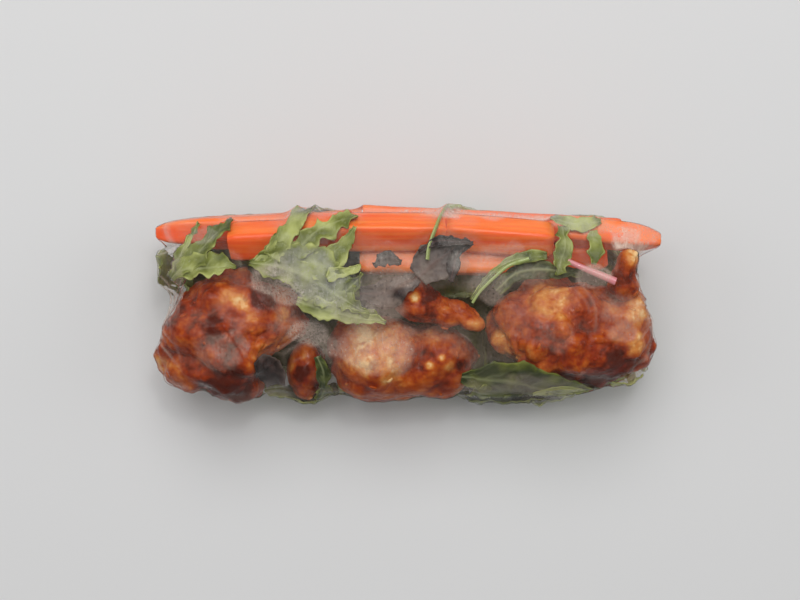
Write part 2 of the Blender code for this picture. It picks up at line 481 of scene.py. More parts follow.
@dataclass(frozen=True)
class GlazedBatter:
    """Fried batter under a sticky glaze: golden on its lumps, dark red-brown where glaze pools."""

    pooled: Colour = (0.090, 0.009, 0.002)
    glaze: Colour = (0.30, 0.033, 0.003)
    orange: Colour = (0.48, 0.096, 0.009)
    golden: Colour = (0.66, 0.270, 0.060)
    crumb: Colour = (0.86, 0.590, 0.280)
    burnt: Colour = (0.24, 0.016, 0.004)

    def material(self) -> bpy.types.Material:
        """Returns the material, which reads the mesh's "lump" and "spot"."""
        m = Material("glazed_batter")
        blotch = m.noise(130.0, 5.0)
        pools = m.noise(480.0, 3.0)
        height = m.attribute("lump") * 0.34 + (blotch - 0.5) * 1.45 + (pools - 0.5) * 0.55 + 0.29
        height = height + m.attribute("spot") * 0.46
        ridges = 1.0 - abs(m.noise(170.0, 3.0) - 0.5) * 14.0
        height = height - ridges.clamped() * 0.08
        stops = (
            (
                0.10, self.pooled
            ), (0.34, self.glaze), (0.58, self.orange), (0.84, self.golden), (1.0, self.crumb)
        )
        colour = m.add("ShaderNodeValToRGB", {"stops": stops}, {"Fac": height.clamped()})
        red = m.noise(230.0, 2.0).smooth_step(0.57, 0.70)
        colour = m.mixed(red * 0.5, colour, self.burnt)
        fine = m.noise(1300.0, 3.0)
        return m.finish(
            m.principled(
                Base_Color=colour,
                Roughness=(0.20 + fine * 0.24).clamped(),
                Normal=m.bump(fine * 0.6 + m.noise(3000.0, 2.0) * 0.25, 0.6, 0.30 * MM),
                Specular_IOR_Level=0.06,
                Coat_Weight=0.14,
                Coat_Roughness=0.07,
            )
        )


@dataclass(frozen=True)
class LeafBlade:
    """A soft salad leaf: its veins pale, its blade mottled, its colour set by the mesh's "tone"."""

    name: str
    dark: Colour
    mid: Colour
    pale: Colour
    vein: Colour

    def material(self) -> bpy.types.Material:
        """Returns the material, which reads the mesh's "tone" and "vein"."""
        m = Material(self.name)
        tone = (m.attribute("tone") + (m.noise(210.0, 4.0) - 0.5) * 0.7).clamped()
        stops = ((0.05, self.dark), (0.5, self.mid), (0.95, self.pale))
        colour = m.add("ShaderNodeValToRGB", {"stops": stops}, {"Fac": tone})
        colour = m.mixed((m.attribute("vein") * 0.45).clamped(), colour, self.vein)
        cells = m.noise(900.0, 3.0)
        return m.finish(
            m.principled(
                Base_Color=colour,
                Roughness=0.45,
                Normal=m.bump(m.attribute("vein") * 0.6 + cells * 0.5, 0.5, 0.3 * MM),
                Specular_IOR_Level=0.3,
            )
        )


@dataclass(frozen=True)
class LeafStem:
    """A crisp stem, streaked along its length."""

    name: str
    colour: Colour
    streak: Colour

    def material(self) -> bpy.types.Material:
        """Returns the material."""
        m = Material(self.name)
        streaks = m.noise(500.0, 2.0, (0.2, 1.0, 1.0), 25.0)
        colour = m.mixed(streaks, self.colour, self.streak)
        return m.finish(
            m.principled(
                Base_Color=colour, Roughness=0.32, Normal=m.bump(streaks, 0.3, 0.1 * MM), Coat_Weight=0.2
            )
        )


@dataclass(frozen=True)
class RicePaperFilm:
    """Soaked rice paper: clear and shiny where it clings, milky and grainy where it stands off."""

    milk: Colour = (0.66, 0.64, 0.58)
    stained: Colour = (0.73, 0.53, 0.42)
    sheen: float = 0.13
    through_to_fillings: float = 0.88

    def material(self) -> bpy.types.Material:
        """Returns the material, which reads the mesh's "haze", "fold" and "stain"."""
        m = Material("rice_paper_film")
        haze = m.attribute("haze")
        cloud = m.noise(120.0, 4.0)
        grain = m.noise(1500.0, 3.0)
        dimples = m.noise(1250.0, 1.0).smooth_step(0.60, 0.68)
        light_streaks = m.noise(1500.0, 2.0, (1.0, 0.14, 1.0), 38.0).smooth_step(0.56, 0.70)
        dark_streaks = m.noise(1350.0, 2.0, (1.0, 0.14, 1.0), -47.0).smooth_step(0.56, 0.70)
        streaks = light_streaks * 0.25 - dark_streaks * 0.25
        milky = haze * (0.86 + cloud * 0.34 + (grain - 0.5) * 0.9 - dimples * 0.42 + streaks)
        specks = m.noise(1050.0, 1.0).smooth_step(0.68, 0.74)
        wrinkles = (1.0 - abs(m.noise(150.0, 3.0) - 0.5) * 26.0).clamped()
        milky = milky + (specks * 0.9 + wrinkles * 0.22) * (haze * 0.6 + 0.012)
        # Painted highlight: the fold attribute also whitens thin lines along the paper's edges, besides its
        # doubled folds.
        milky = (milky + light_streaks * 0.006 + m.attribute("fold_and_edge_highlight") * 0.30).clamped()
        pores = m.noise(2600.0, 1.0)
        normal = m.bump(grain * 0.6 + pores * 0.2 + light_streaks * 0.3, 0.30, 0.14 * MM)
        milk = m.mixed(m.attribute("stain") * 0.8, self.milk, self.stained)
        body = m.principled(Base_Color=milk, Roughness=0.5, Normal=normal, Specular_IOR_Level=0.2)
        clear = m.add("ShaderNodeBsdfTransparent")
        film = m.add("ShaderNodeMixShader", {}, {0: milky, 1: clear, 2: body})
        gloss = m.add(
            "ShaderNodeBsdfGlossy", {}, {"Color": (1, 1, 1, 1), "Roughness": self.sheen, "Normal": normal}
        )
        facing = m.add("ShaderNodeFresnel", {}, {"IOR": 1.135, "Normal": normal})
        film = m.add("ShaderNodeMixShader", {}, {0: facing, 1: film, 2: gloss})
        shadow = m.add("ShaderNodeLightPath", output="Is Shadow Ray")
        film = m.add("ShaderNodeMixShader", {}, {0: shadow * self.through_to_fillings, 1: film, 2: clear})
        return m.finish(film)


@dataclass(frozen=True)
class PaleFloor:
    """A plain pale studio floor."""

    colour: Colour = (0.73, 0.73, 0.73)

    def material(self) -> bpy.types.Material:
        """Returns the material."""
        m = Material("pale_floor")
        mottle = m.mixed(m.noise(9.0, 3.0), tuple(c * 0.97 for c in self.colour), self.colour)
        return m.finish(m.principled(Base_Color=mottle, Roughness=0.85, Specular_IOR_Level=0.2))


# ---------------------------------------------------------------------------------------------
# Meshes and noise
# ---------------------------------------------------------------------------------------------


# Large odd numbers that scatter a cell's place and a seed, and the one that mixes them.
CELL_SCATTER = (73856093, 19349663, 83492791)
SEED_SCATTER = 15485863
MIXER = 1274126177


def lattice_noise(points: np.ndarray, seed: int) -> np.ndarray:
    """Smooth noise from -1 to 1 that repeats for a seed.

    Args:
        points: Places, with xyz on the last axis; the noise has one blotch to a unit.
        seed: Which of many such patterns it is.

    Returns:
        The noise at each place.
    """
    base = np.floor(points).astype(np.int64)
    part = points - base
    fade = part**3 * (part * (part * 6 - 15) + 10)
    total = np.zeros(points.shape[:-1])
    for corner in range(8):
        step = np.array([(corner >> axis) & 1 for axis in range(3)])
        cell = base + step
        x, y, z = (cell[..., axis] * scatter for axis, scatter in enumerate(CELL_SCATTER))
        mixed = x ^ y ^ z ^ (seed * SEED_SCATTER)
        mixed = ((mixed ^ (mixed >> 13)) * MIXER) & 0xFFFFFFFF
        mixed = (mixed ^ (mixed >> 16)) & 0xFFFF
        total += (mixed / 32767.5 - 1) * np.prod(np.where(step, fade, 1 - fade), axis=-1)
    return total


def layered_noise(points: np.ndarray, size: float, octaves: int, seed: int) -> np.ndarray:
    """Noise with finer noise laid on it.

    Args:
        points: Places, with xyz on the last axis.
        size: How wide the largest blotches are.
        octaves: How many sizes there are, each half the last.
        seed: Which of many such patterns it is.

    Returns:
        The noise at each place, from about -1 to 1.
    """
    total = np.zeros(points.shape[:-1])
    for octave in range(octaves):
        total += lattice_noise(points / size * 2**octave + octave * 7.3, seed + octave) / 2**octave
    return total / (2 - 2 ** (1 - octaves))


def smooth(low: float, high: float, value: np.ndarray) -> np.ndarray:
    """0 below low, 1 above high, and a smooth rise between them."""
    share = np.clip((value - low) / (high - low), 0, 1)
    return share * share * (3 - 2 * share)


def through(points: Sequence[Sequence[float]], count: int) -> np.ndarray:
    """Evenly spaced places on a smooth curve through some points.

    Args:
        points: The points, in order.
        count: How many places to return.

    Returns:
        An array of places.
    """
    known = np.array(points, dtype=float)
    padded = np.vstack((2 * known[0] - known[1], known, 2 * known[-1] - known[-2]))
    dense = []
    for i in range(len(known) - 1):
        a, b, c, d = padded[i : i + 4]
        t = np.linspace(0, 1, 24, endpoint=i == len(known) - 2)[:, None]
        bend, twist = 2 * a - 5 * b + 4 * c - d, 3 * b - a - 3 * c + d
        dense.append(0.5 * (2 * b + (c - a) * t + bend * t**2 + twist * t**3))
    curve = np.vstack(dense)
    lengths = np.concatenate(([0], np.cumsum(np.linalg.norm(np.diff(curve, axis=0), axis=1))))
    wanted = np.linspace(0, lengths[-1], count)
    return np.stack([np.interp(wanted, lengths, curve[:, axis]) for axis in range(curve.shape[1])], axis=1)


def places_of(mesh: bpy.types.Mesh) -> np.ndarray:
    """A mesh's points, as an array of places.

    Args:
        mesh: The mesh.

    Returns:
        Its places, as points by xyz.
    """
    co = np.empty(len(mesh.vertices) * 3, dtype=np.float32)
    mesh.vertices.foreach_get("co", co)
    return co.reshape(-1, 3).astype(float)


def store(mesh: bpy.types.Mesh, name: str, values: np.ndarray) -> None:
    """Stores a number on each of a mesh's points, under a name."""
    layer = mesh.attributes.new(name, "FLOAT", "POINT")
    layer.data.foreach_set("value", np.ascontiguousarray(values, dtype=np.float32).ravel())


def linked(name: str, data: object) -> bpy.types.Object:
    """A new object in the scene, at the origin.

    Args:
        name: Its name.
        data: Its mesh, light or camera.

    Returns:
        The object.
    """
    made = bpy.data.objects.new(name, data)
    bpy.context.scene.collection.objects.link(made)
    return made


def search_tree(objects: Sequence[bpy.types.Object]) -> BVHTree:
    """A search tree of the faces of several objects.

    Args:
        objects: Mesh objects whose own transform is none.

    Returns:
        The tree.
    """
    places: list[np.ndarray] = []
    faces: list[tuple[int, ...]] = []
    start = 0
    for source in objects:
        mesh = source.data
        places.append(places_of(mesh))
        faces += [tuple(start + i for i in p.vertices) for p in mesh.polygons]
        start += len(mesh.vertices)
    return BVHTree.FromPolygons(np.vstack(places).tolist(), faces)


def grid_mesh(
    name: str, grid: np.ndarray, attributes: dict[str, np.ndarray], closed: bool = False
) -> bpy.types.Mesh:
    """A mesh from rows of points.

    Args:
        name: The mesh's name.
        grid: Places as rows by columns by xyz.
        attributes: Numbers to store on the points, each rows by columns.
        closed: Whether each row joins up with its own start.

    Returns:
        The mesh.
    """
    rows, columns = grid.shape[:2]
    i, j = np.meshgrid(np.arange(rows - 1), np.arange(columns if closed else columns - 1), indexing="ij")
    k = (j + 1) % columns
    quads = np.stack(
        [i * columns + j, (i + 1) * columns + j, (i + 1) * columns + k, i * columns + k], axis=-1
    )
    mesh = bpy.data.meshes.new(name)
    mesh.from_pydata(grid.reshape(-1, 3).tolist(), [], quads.reshape(-1, 4).tolist())
    for key, values in attributes.items():
        store(mesh, key, values)
    mesh.shade_smooth()
    return mesh


def close_ends(mesh: bpy.types.Mesh, fanned: bool) -> None:
    """Closes a tube's two ends and turns its faces outwards.

    Args:
        mesh: The open tube.
        fanned: Whether an end's faces meet at its middle.
    """
    shape = bmesh.new()
    shape.from_mesh(mesh)
    bmesh.ops.holes_fill(shape, edges=[e for e in shape.edges if e.is_boundary], sides=0)
    cut = bmesh.ops.poke if fanned else bmesh.ops.triangulate
    cut(shape, faces=[f for f in shape.faces if len(f.verts) > 4])
    bmesh.ops.recalc_face_normals(shape, faces=shape.faces)
    shape.to_mesh(mesh)
    shape.free()


def thick_sheet(
    name: str, grid: np.ndarray, attributes: dict[str, np.ndarray], thickness: float, middle: Vector
) -> bpy.types.Mesh:
    """A closed thin sheet from rows of points.

    Args:
        name: The mesh's name.
        grid: Places of its outer face, as rows by columns by xyz.
        attributes: Numbers to store on the points, each rows by columns.
        thickness: How thick it is.
        middle: A place on its inner side; only its y and z count.

    Returns:
        The mesh.
    """
    along, across = np.gradient(grid, axis=0), np.gradient(grid, axis=1)
    normal = np.cross(along, across)
    normal /= np.maximum(np.linalg.norm(normal, axis=-1, keepdims=True), 1e-9)
    outward = grid - np.array([0.0, middle.y, middle.z])
    outward[..., 0] = grid[..., 0] * 0.1
    if (normal * outward).sum() < 0:
        normal = -normal
    around = np.concatenate((grid, (grid - normal * thickness)[:, ::-1]), axis=1)
    values = {key: np.concatenate((v, v[:, ::-1]), axis=1) for key, v in attributes.items()}
    mesh = grid_mesh(name, around, values, closed=True)
    close_ends(mesh, fanned=False)
    return mesh


def joined(name: str, meshes: Sequence[bpy.types.Mesh], material: bpy.types.Material) -> bpy.types.Object:
    """One object from several meshes.

    Args:
        name: The object's name.
        meshes: The meshes, which have the same attributes.
        material: The material that it gets.

    Returns:
        The object.
    """
    shape = bmesh.new()
    for mesh in meshes:
        shape.from_mesh(mesh)
    made_mesh = bpy.data.meshes.new(name)
    shape.to_mesh(made_mesh)
    shape.free()
    made_mesh.materials.append(material)
    made_mesh.shade_smooth()
    return linked(name, made_mesh)


# ---------------------------------------------------------------------------------------------
# The paper's frame: how anything is laid against, or drawn over, the fillings
# ---------------------------------------------------------------------------------------------


@dataclass
class PaperFrame:
    """A rounded tube about the roll: places, and the ways along which the paper moves in and out."""

    rings: int
    points: int
    half_long: float = 71.0 * MM
    half_wide: float = 28.0 * MM
    half_high: float = ROLL_MIDDLE * MM
    corner: float = 9.0 * MM
    pole: float = 0.25 * MM
    give: float = 0.95
    places: np.ndarray = field(init=False)
    ways: np.ndarray = field(init=False)

    def __post_init__(self) -> None:
        """Works out the places and the ways, as rings by points by xyz."""
        reach = self.half_high
        flat = reach - self.corner - self.pole
        turn = math.pi / 2 * self.corner
        tube = 2 * (self.half_long - self.corner)
        path = 2 * (flat + turn) + tube
        along = np.linspace(0, path, self.rings)
        side = np.where(along < path / 2, -1.0, 1.0)
        along = np.minimum(along, path - along)
        parts = (along < flat, along < flat + turn)
        tilt = np.select(parts, (math.pi / 2, math.pi / 2 - (along - flat) / self.corner), 0.0)
        on_corner = self.half_long - self.corner * (1 - np.sin(tilt))
        on_tube = self.half_long - self.corner - (along - flat - turn)
        x = np.select(parts, (self.half_long, on_corner), on_tube)
        on_corner = (reach - self.corner + self.corner * np.cos(tilt)) / reach
        share = np.select(parts, ((self.pole + along) / reach, on_corner), 1.0)
        angle = np.linspace(0, 2 * math.pi, self.points, endpoint=False)
        across = np.stack([np.cos(angle) * self.half_wide, np.sin(angle) * self.half_high], axis=-1)
        outward = np.stack([np.cos(angle) / self.half_wide, np.sin(angle) / self.half_high], axis=-1)
        outward /= np.linalg.norm(outward, axis=-1, keepdims=True)
        self.places = np.empty((self.rings, self.points, 3))
        self.places[..., 0] = (side * x)[:, None]
        self.places[..., 1:] = share[:, None, None] * across[None]
        self.places[..., 2] += self.half_high
        self.ways = np.empty_like(self.places)
        self.ways[..., 0] = (side * np.sin(tilt))[:, None]
        self.ways[..., 1:] = np.cos(tilt)[:, None, None] * outward[None]

    def outermost(self, tree: BVHTree, spread: float, far: float = 34.0 * MM) -> np.ndarray:
        """How far out along its way each point first meets what a tree holds.

        Args:
            tree: What to look for.
            spread: How far to either side of the point it looks too.
            far: How far out it starts.

        Returns:
            The heights, with a low number where nothing is met.
        """
        heights = np.full(self.places.shape[:2], -far)
        nudges = ((0.0, 0.0), (1.0, 0.0), (-0.5, 0.87), (-0.5, -0.87)) if spread else ((0.0, 0.0),)
        for ring in range(self.rings):
            for point in range(self.points):
                way = Vector(self.ways[ring, point])
                start = Vector(self.places[ring, point]) + way * far
                first = way.orthogonal().normalized()
                second = way.cross(first)
                for a, b in nudges:
                    begin = start + (first * a + second * b) * spread
                    distance = tree.ray_cast(begin, -way, 2 * far)[3]
                    if distance is not None:
                        heights[ring, point] = max(heights[ring, point], far - distance)
        return heights

    def lowest(self) -> np.ndarray:
        """The greatest height of each point that keeps it above the table."""
        down = np.minimum(self.ways[..., 2], -1e-3)
        return np.where(self.ways[..., 2] < -0.01, -self.places[..., 2] / down, 1.0)

    def stretched(self, least: np.ndarray, start: np.ndarray, passes: int) -> np.ndarray:
        """The heights of a film under even tension which stays outside what it covers.

        Args:
            least: How far out each point must be.
            start: Where the film begins.
            passes: How many times it is relaxed.

        Returns:
            The heights.
        """
        most = self.lowest()
        least = np.minimum(least, most)
        heights = np.minimum(np.maximum(start, least), most)
        for _ in range(passes):
            film = self.places + self.ways * heights[..., None]
            first, last = (np.roll(end, self.points // 2, axis=1) for end in (film[:1], film[-1:]))
            ends = np.concatenate((first, film, last))
            pull = (ends[:-2] + ends[2:] + np.roll(film, 1, axis=1) + np.roll(film, -1, axis=1)) / 4 - film
            heights = heights + self.give * (pull * self.ways).sum(axis=2)
            heights = np.minimum(np.maximum(heights, least), most)
        return heights

    def resampled(self, heights: np.ndarray) -> np.ndarray:
        """Heights from a coarser frame, read at this frame's points.

        Args:
            heights: The coarser frame's heights, as rings by points.

        Returns:
            The heights, as this frame's rings by points.
        """
        rings, points = heights.shape
        wrapped = np.concatenate((heights, heights[:, :1]), axis=1)
        across = np.linspace(0, points, self.points, endpoint=False)
        wide = np.stack([np.interp(across, np.arange(points + 1), row) for row in wrapped])
        along = np.linspace(0, rings - 1, self.rings)
        return np.stack([np.interp(along, np.arange(rings), column) for column in wide.T], axis=1)

    def surface(self, heights: np.ndarray) -> np.ndarray:
        """The places of a film at these heights."""
        return self.places + self.ways * heights[..., None]


class Side(Enum):
    """A side that a leaf is laid on: the way out of it, then the axes of its plan."""

    TOP = ((0, 0, 1), (1, 0, 0), (0, 1, 0))
    FRONT = ((0, -1, 0), (1, 0, 0), (0, 0, 1))
    BACK = ((0, 1, 0), (1, 0, 0), (0, 0, 1))
    UNDER = ((0, 0, -1), (1, 0, 0), (0, 1, 0))
    LEFT = ((-1, 0, 0), (0, 1, 0), (0, 0, 1))
    RIGHT = ((1, 0, 0), (0, 1, 0), (0, 0, 1))


@dataclass
class Wrapping:
    """The taut inner surface that leaves and stems are laid against."""

    skin: BVHTree
    fillings: BVHTree
    middle: Vector = field(default_factory=lambda: Vector((0.0, 0.0, ROLL_MIDDLE * MM)))
    outside: float = 0.15
    least_facing: float = 0.12
    deepest: float = 9.0 * MM
    open_room: float = 5.0 * MM

    def laid(self, side: Side, plan: np.ndarray, lift: np.ndarray, sink: float) -> np.ndarray:
        """Places points of a flat plan against the surface.

        Args:
            side: The side they are laid on.
            plan: Their places in that side's plan, in metres.
            lift: How far each stands out from the surface.
            sink: The share of the room below the surface by which they hang into it.

        Returns:
            Their places, in the same order.
        """
        out, first, second = (Vector(axis) for axis in side.value)
        flat = plan.reshape(-1, 2)
        lifts = lift.ravel()
        laid = np.empty((len(flat), 3))
        for i, (u, v) in enumerate(flat):
            base = first * float(u) + second * float(v)
            place, normal = self.skin.ray_cast(base + out * self.outside, -out, 2 * self.outside)[:2]
            if place is None or normal.dot(out) < self.least_facing:
                near = base + out * 0.02 if place is None else Vector(place)
                place, normal = self.skin.find_nearest(near)[:2]
            inside = Vector((place.x * 0.9, 0.0, self.middle.z))
            outward = normal if normal.dot(place - inside) > 0 else -normal
            room = 0.0
            if sink:
                hit = self.fillings.ray_cast(place, -outward, self.deepest)[3]
                room = self.open_room if hit is None else hit
            laid[i] = place + outward * (float(lifts[i]) - sink * room)
        return laid.reshape(*plan.shape[:-1], 3)


# ---------------------------------------------------------------------------------------------
# Fillings
# ---------------------------------------------------------------------------------------------


@dataclass(frozen=True)
class Baton:
    """A carrot baton: where it runs, in millimetres, how its section lies, and how it ends."""

    node: str
    start: Place
    end: Place
    width: float
    height: float
    turn: float
    start_share: float
    end_share: float
    tint: float
    start_tip: float = 3.0
    end_tip: float = 3.0
    # How strongly the front half is darkened as painted shade, where it faces away from the key light.
    front: float = 0.4


@dataclass
class CarrotBatons:
    """The hand-cut carrot batons along the back of the roll."""

    side: float = 7.6 * MM
    edge: float = 1.3 * MM
    bow: float = 0.5 * MM
    knife_wave: float = 0.30 * MM
    step: float = 0.62 * MM
    section_points: int = 52
    flesh: CarrotFlesh = CarrotFlesh()
    batons: tuple[Baton, ...] = (
        Baton(
            "carrot_left_tip", (-70.0, 20.2, 18.6), (-12.6, 23.2, 17.6), 0.90, 0.92, 8, 0.44, 0.98, 0.20, 12
        ),
        Baton(
            "carrot_upper_left", (-48.5, 17.4, 28.0), (-29.4, 18.4, 28.4), 1.12, 1.10, -55, 0.92, 0.94,
            0.30, 3, 3, 0.4,
        ),
        Baton(
            "carrot_top_middle", (-28.7, 20.2, 28.2), (10.4, 20.0, 28.2), 1.12, 1.10, -55, 0.94, 0.84, 0.50,
            3, 3, 0.35,
        ),
        Baton(
            "carrot_back_long", (-12.4, 23.9, 17.4), (59.6, 20.3, 16.8), 1.02, 1.02, -4, 0.97, 0.90, 0.35
        ),
        Baton(
            "carrot_top_right", (10.7, 20.2, 28.2), (40.0, 17.8, 28.4), 1.08, 1.06, -55, 0.80, 0.80, 0.50,
            3, 3, 0.4,
        ),
        Baton(
            "carrot_inner", (-13.0, 12.3, 24.2), (29.4, 11.7, 24.1), 0.92, 0.90, -6, 0.80, 0.84, 0.60, 4, 5,
            0.0,
        ),
        Baton("carrot_short", (36.2, 12.9, 18.6), (55.6, 14.0, 21.2), 0.92, 0.92, 20, 0.92, 0.70, 0.40),
        Baton(
            "carrot_right_tip", (42.4, 20.8, 27.2), (69.6, 17.9, 24.2), 0.92, 0.90, -20, 0.90, 0.46, 0.60,
            3.0, 14.0,
        ),
        Baton("carrot_low_back", (-56.0, 20.0, 8.6), (56.0, 20.0, 8.2), 1.08, 1.06, 3, 0.85, 0.88, 0.30),
    )

    def shape(self) -> Shape:
        """Returns the tree that sweeps a baton's rounded section from one end to the other."""
        g = Shape("swept_baton")
        start, end = g.input("Start", "Vector"), g.input("End", "Vector")
        width, height, edge = g.input("Width"), g.input("Height"), g.input("Edge")
        turn, bow, wave, seed = g.input("Turn"), g.input("Bow"), g.input("Knife Wave"), g.input("Seed")
        first_share, last_share = g.input("Start Share"), g.input("End Share")
        first_tip, last_tip = g.input("Start Tip"), g.input("End Tip")
        tint, material = g.input("Tint"), g.input("Material", "Material")
        line = g.add("GeometryNodeCurvePrimitiveLine", {"mode": "POINTS"}, {"Start": start, "End": end})
        line = g.add("GeometryNodeResampleCurve", {"mode": "LENGTH"}, {"Curve": line, "Length": self.step})
        along = g.add("GeometryNodeSplineParameter", output="Factor")
        length = g.add("GeometryNodeSplineParameter", output="Length")
        whole = g.vectors("DISTANCE", start, end, output="Value")
        arch = (along * math.pi).sine() * bow
        line = g.moved(line, g.add("ShaderNodeCombineXYZ", {}, {"Z": arch}))
        line = g.add("GeometryNodeSetCurveTilt", {}, {"Curve": line, "Tilt": turn})
        first = self._rounding(length, first_tip, first_share)
        last = self._rounding(whole - length, last_tip, last_share)
        section = g.add("GeometryNodeCurvePrimitiveQuadrilateral", {}, {"Width": width, "Height": height})
        section = g.add(
            "GeometryNodeFilletCurve", {"mode": "POLY"}, {"Curve": section, "Radius": edge, "Count": 7}
        )
        section = g.add(
            "GeometryNodeResampleCurve", {"mode": "COUNT"}, {"Curve": section, "Count": self.section_points}
        )
        bar = g.add(
            "GeometryNodeCurveToMesh", {},
            {"Curve": line, "Profile Curve": section, "Scale": first * last, "Fill Caps": True},
        )
        place = g.add("GeometryNodeInputPosition")
        normal = g.add("GeometryNodeInputNormal")
        faceted = g.noise(g.vectors("MULTIPLY", place, (0.28, 1.0, 1.0)), 230.0, 2.0, seed)
        coarse = g.noise(place, 60.0, 1.0, seed + 9.0)
        bar = g.moved(bar, g.vectors("SCALE", normal, (faceted + coarse * 0.8) * wave))
        way = g.vectors("NORMALIZE", g.vectors("SUBTRACT", end, start))
        facing = g.vectors("DOT_PRODUCT", normal, way, output="Value")
        bar = g.stored(bar, "cut", abs(facing).smooth_step(0.7, 0.9), "FACE")
        bar = g.stored(bar, "tint", tint)
        g.finish(bar, material)
        return g

    @staticmethod
    def paint_front_shade(mesh: bpy.types.Mesh, baton: Baton) -> None:
        """Stores on a baton how far each point is on its front half, which the flesh darkens as painted
        shade.

        Args:
            mesh: The baton's finished mesh.
            baton: Where it runs.
        """
        co = places_of(mesh) / MM
        share = (co[:, 0] - baton.start[0]) / (baton.end[0] - baton.start[0])
        middle = baton.start[1] + (baton.end[1] - baton.start[1]) * share
        wave = 0.5 * layered_noise(co * (0.25, 1.0, 1.0), 3.0, 2, 83)
        # Painted shade, on the side in front of the baton's middle line.
        front = baton.front * smooth(-0.5, 0.5, middle + 1.0 - co[:, 1] + wave)
        store(mesh, "front", front)

    @staticmethod
    def _rounding(distance: Link, tip: Link, share: Link) -> Link:
        """The section's share at a distance from an end: it rounds off over the tip's length."""
        left = 1.0 - (distance / tip).clamped()
        return 1.0 - (1.0 - share) * left * left * left

    def build(self) -> list[bpy.types.Object]:
        """Returns a finished baton for each carrot node."""
        g = self.shape()
        material = self.flesh.material()
        made = []
        for number, baton in enumerate(self.batons):
            values = {
                "Start": [c * MM for c in baton.start],
                "End": [c * MM for c in baton.end],
                "Width": self.side * baton.width,
                "Height": self.side * baton.height,
                "Edge": self.edge,
                "Turn": math.radians(baton.turn),
                "Bow": self.bow,
                "Knife Wave": self.knife_wave,
                "Seed": float(number * 3),
                "Start Share": baton.start_share,
                "End Share": baton.end_share,
                "Start Tip": baton.start_tip * MM,
                "End Tip": baton.end_tip * MM,
                "Tint": baton.tint,
                "Material": material,
            }
            piece = g.apply(baton.node + "_flesh", bpy.data.meshes.new(baton.node), values)
            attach(piece, "root")
            self.paint_front_shade(piece.data, baton)
            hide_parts(baton.node)
            made.append(piece)
        log.info("carrots: %d batons", len(made))
        return made


@dataclass(frozen=True)
class Chunk:
    """A battered piece: its node, its seed, how often its mesh is halved, and how lumpy it is."""

    node: str
    seed: int
    level: int
    lumpiness: float = 1.0
    swell: float = 0.0


@dataclass(frozen=True)
class Pull:
    """A place on a piece, in millimetres, whose surface is drawn by an offset."""

    node: str
    place: Place
    by: Place
    reach: float


@dataclass(frozen=True)
class GlazeSpot:
    """A place on top, in millimetres, where the crust is more golden (above 0) or more glazed."""

    x: float
    y: float
    reach: float
    gold: float


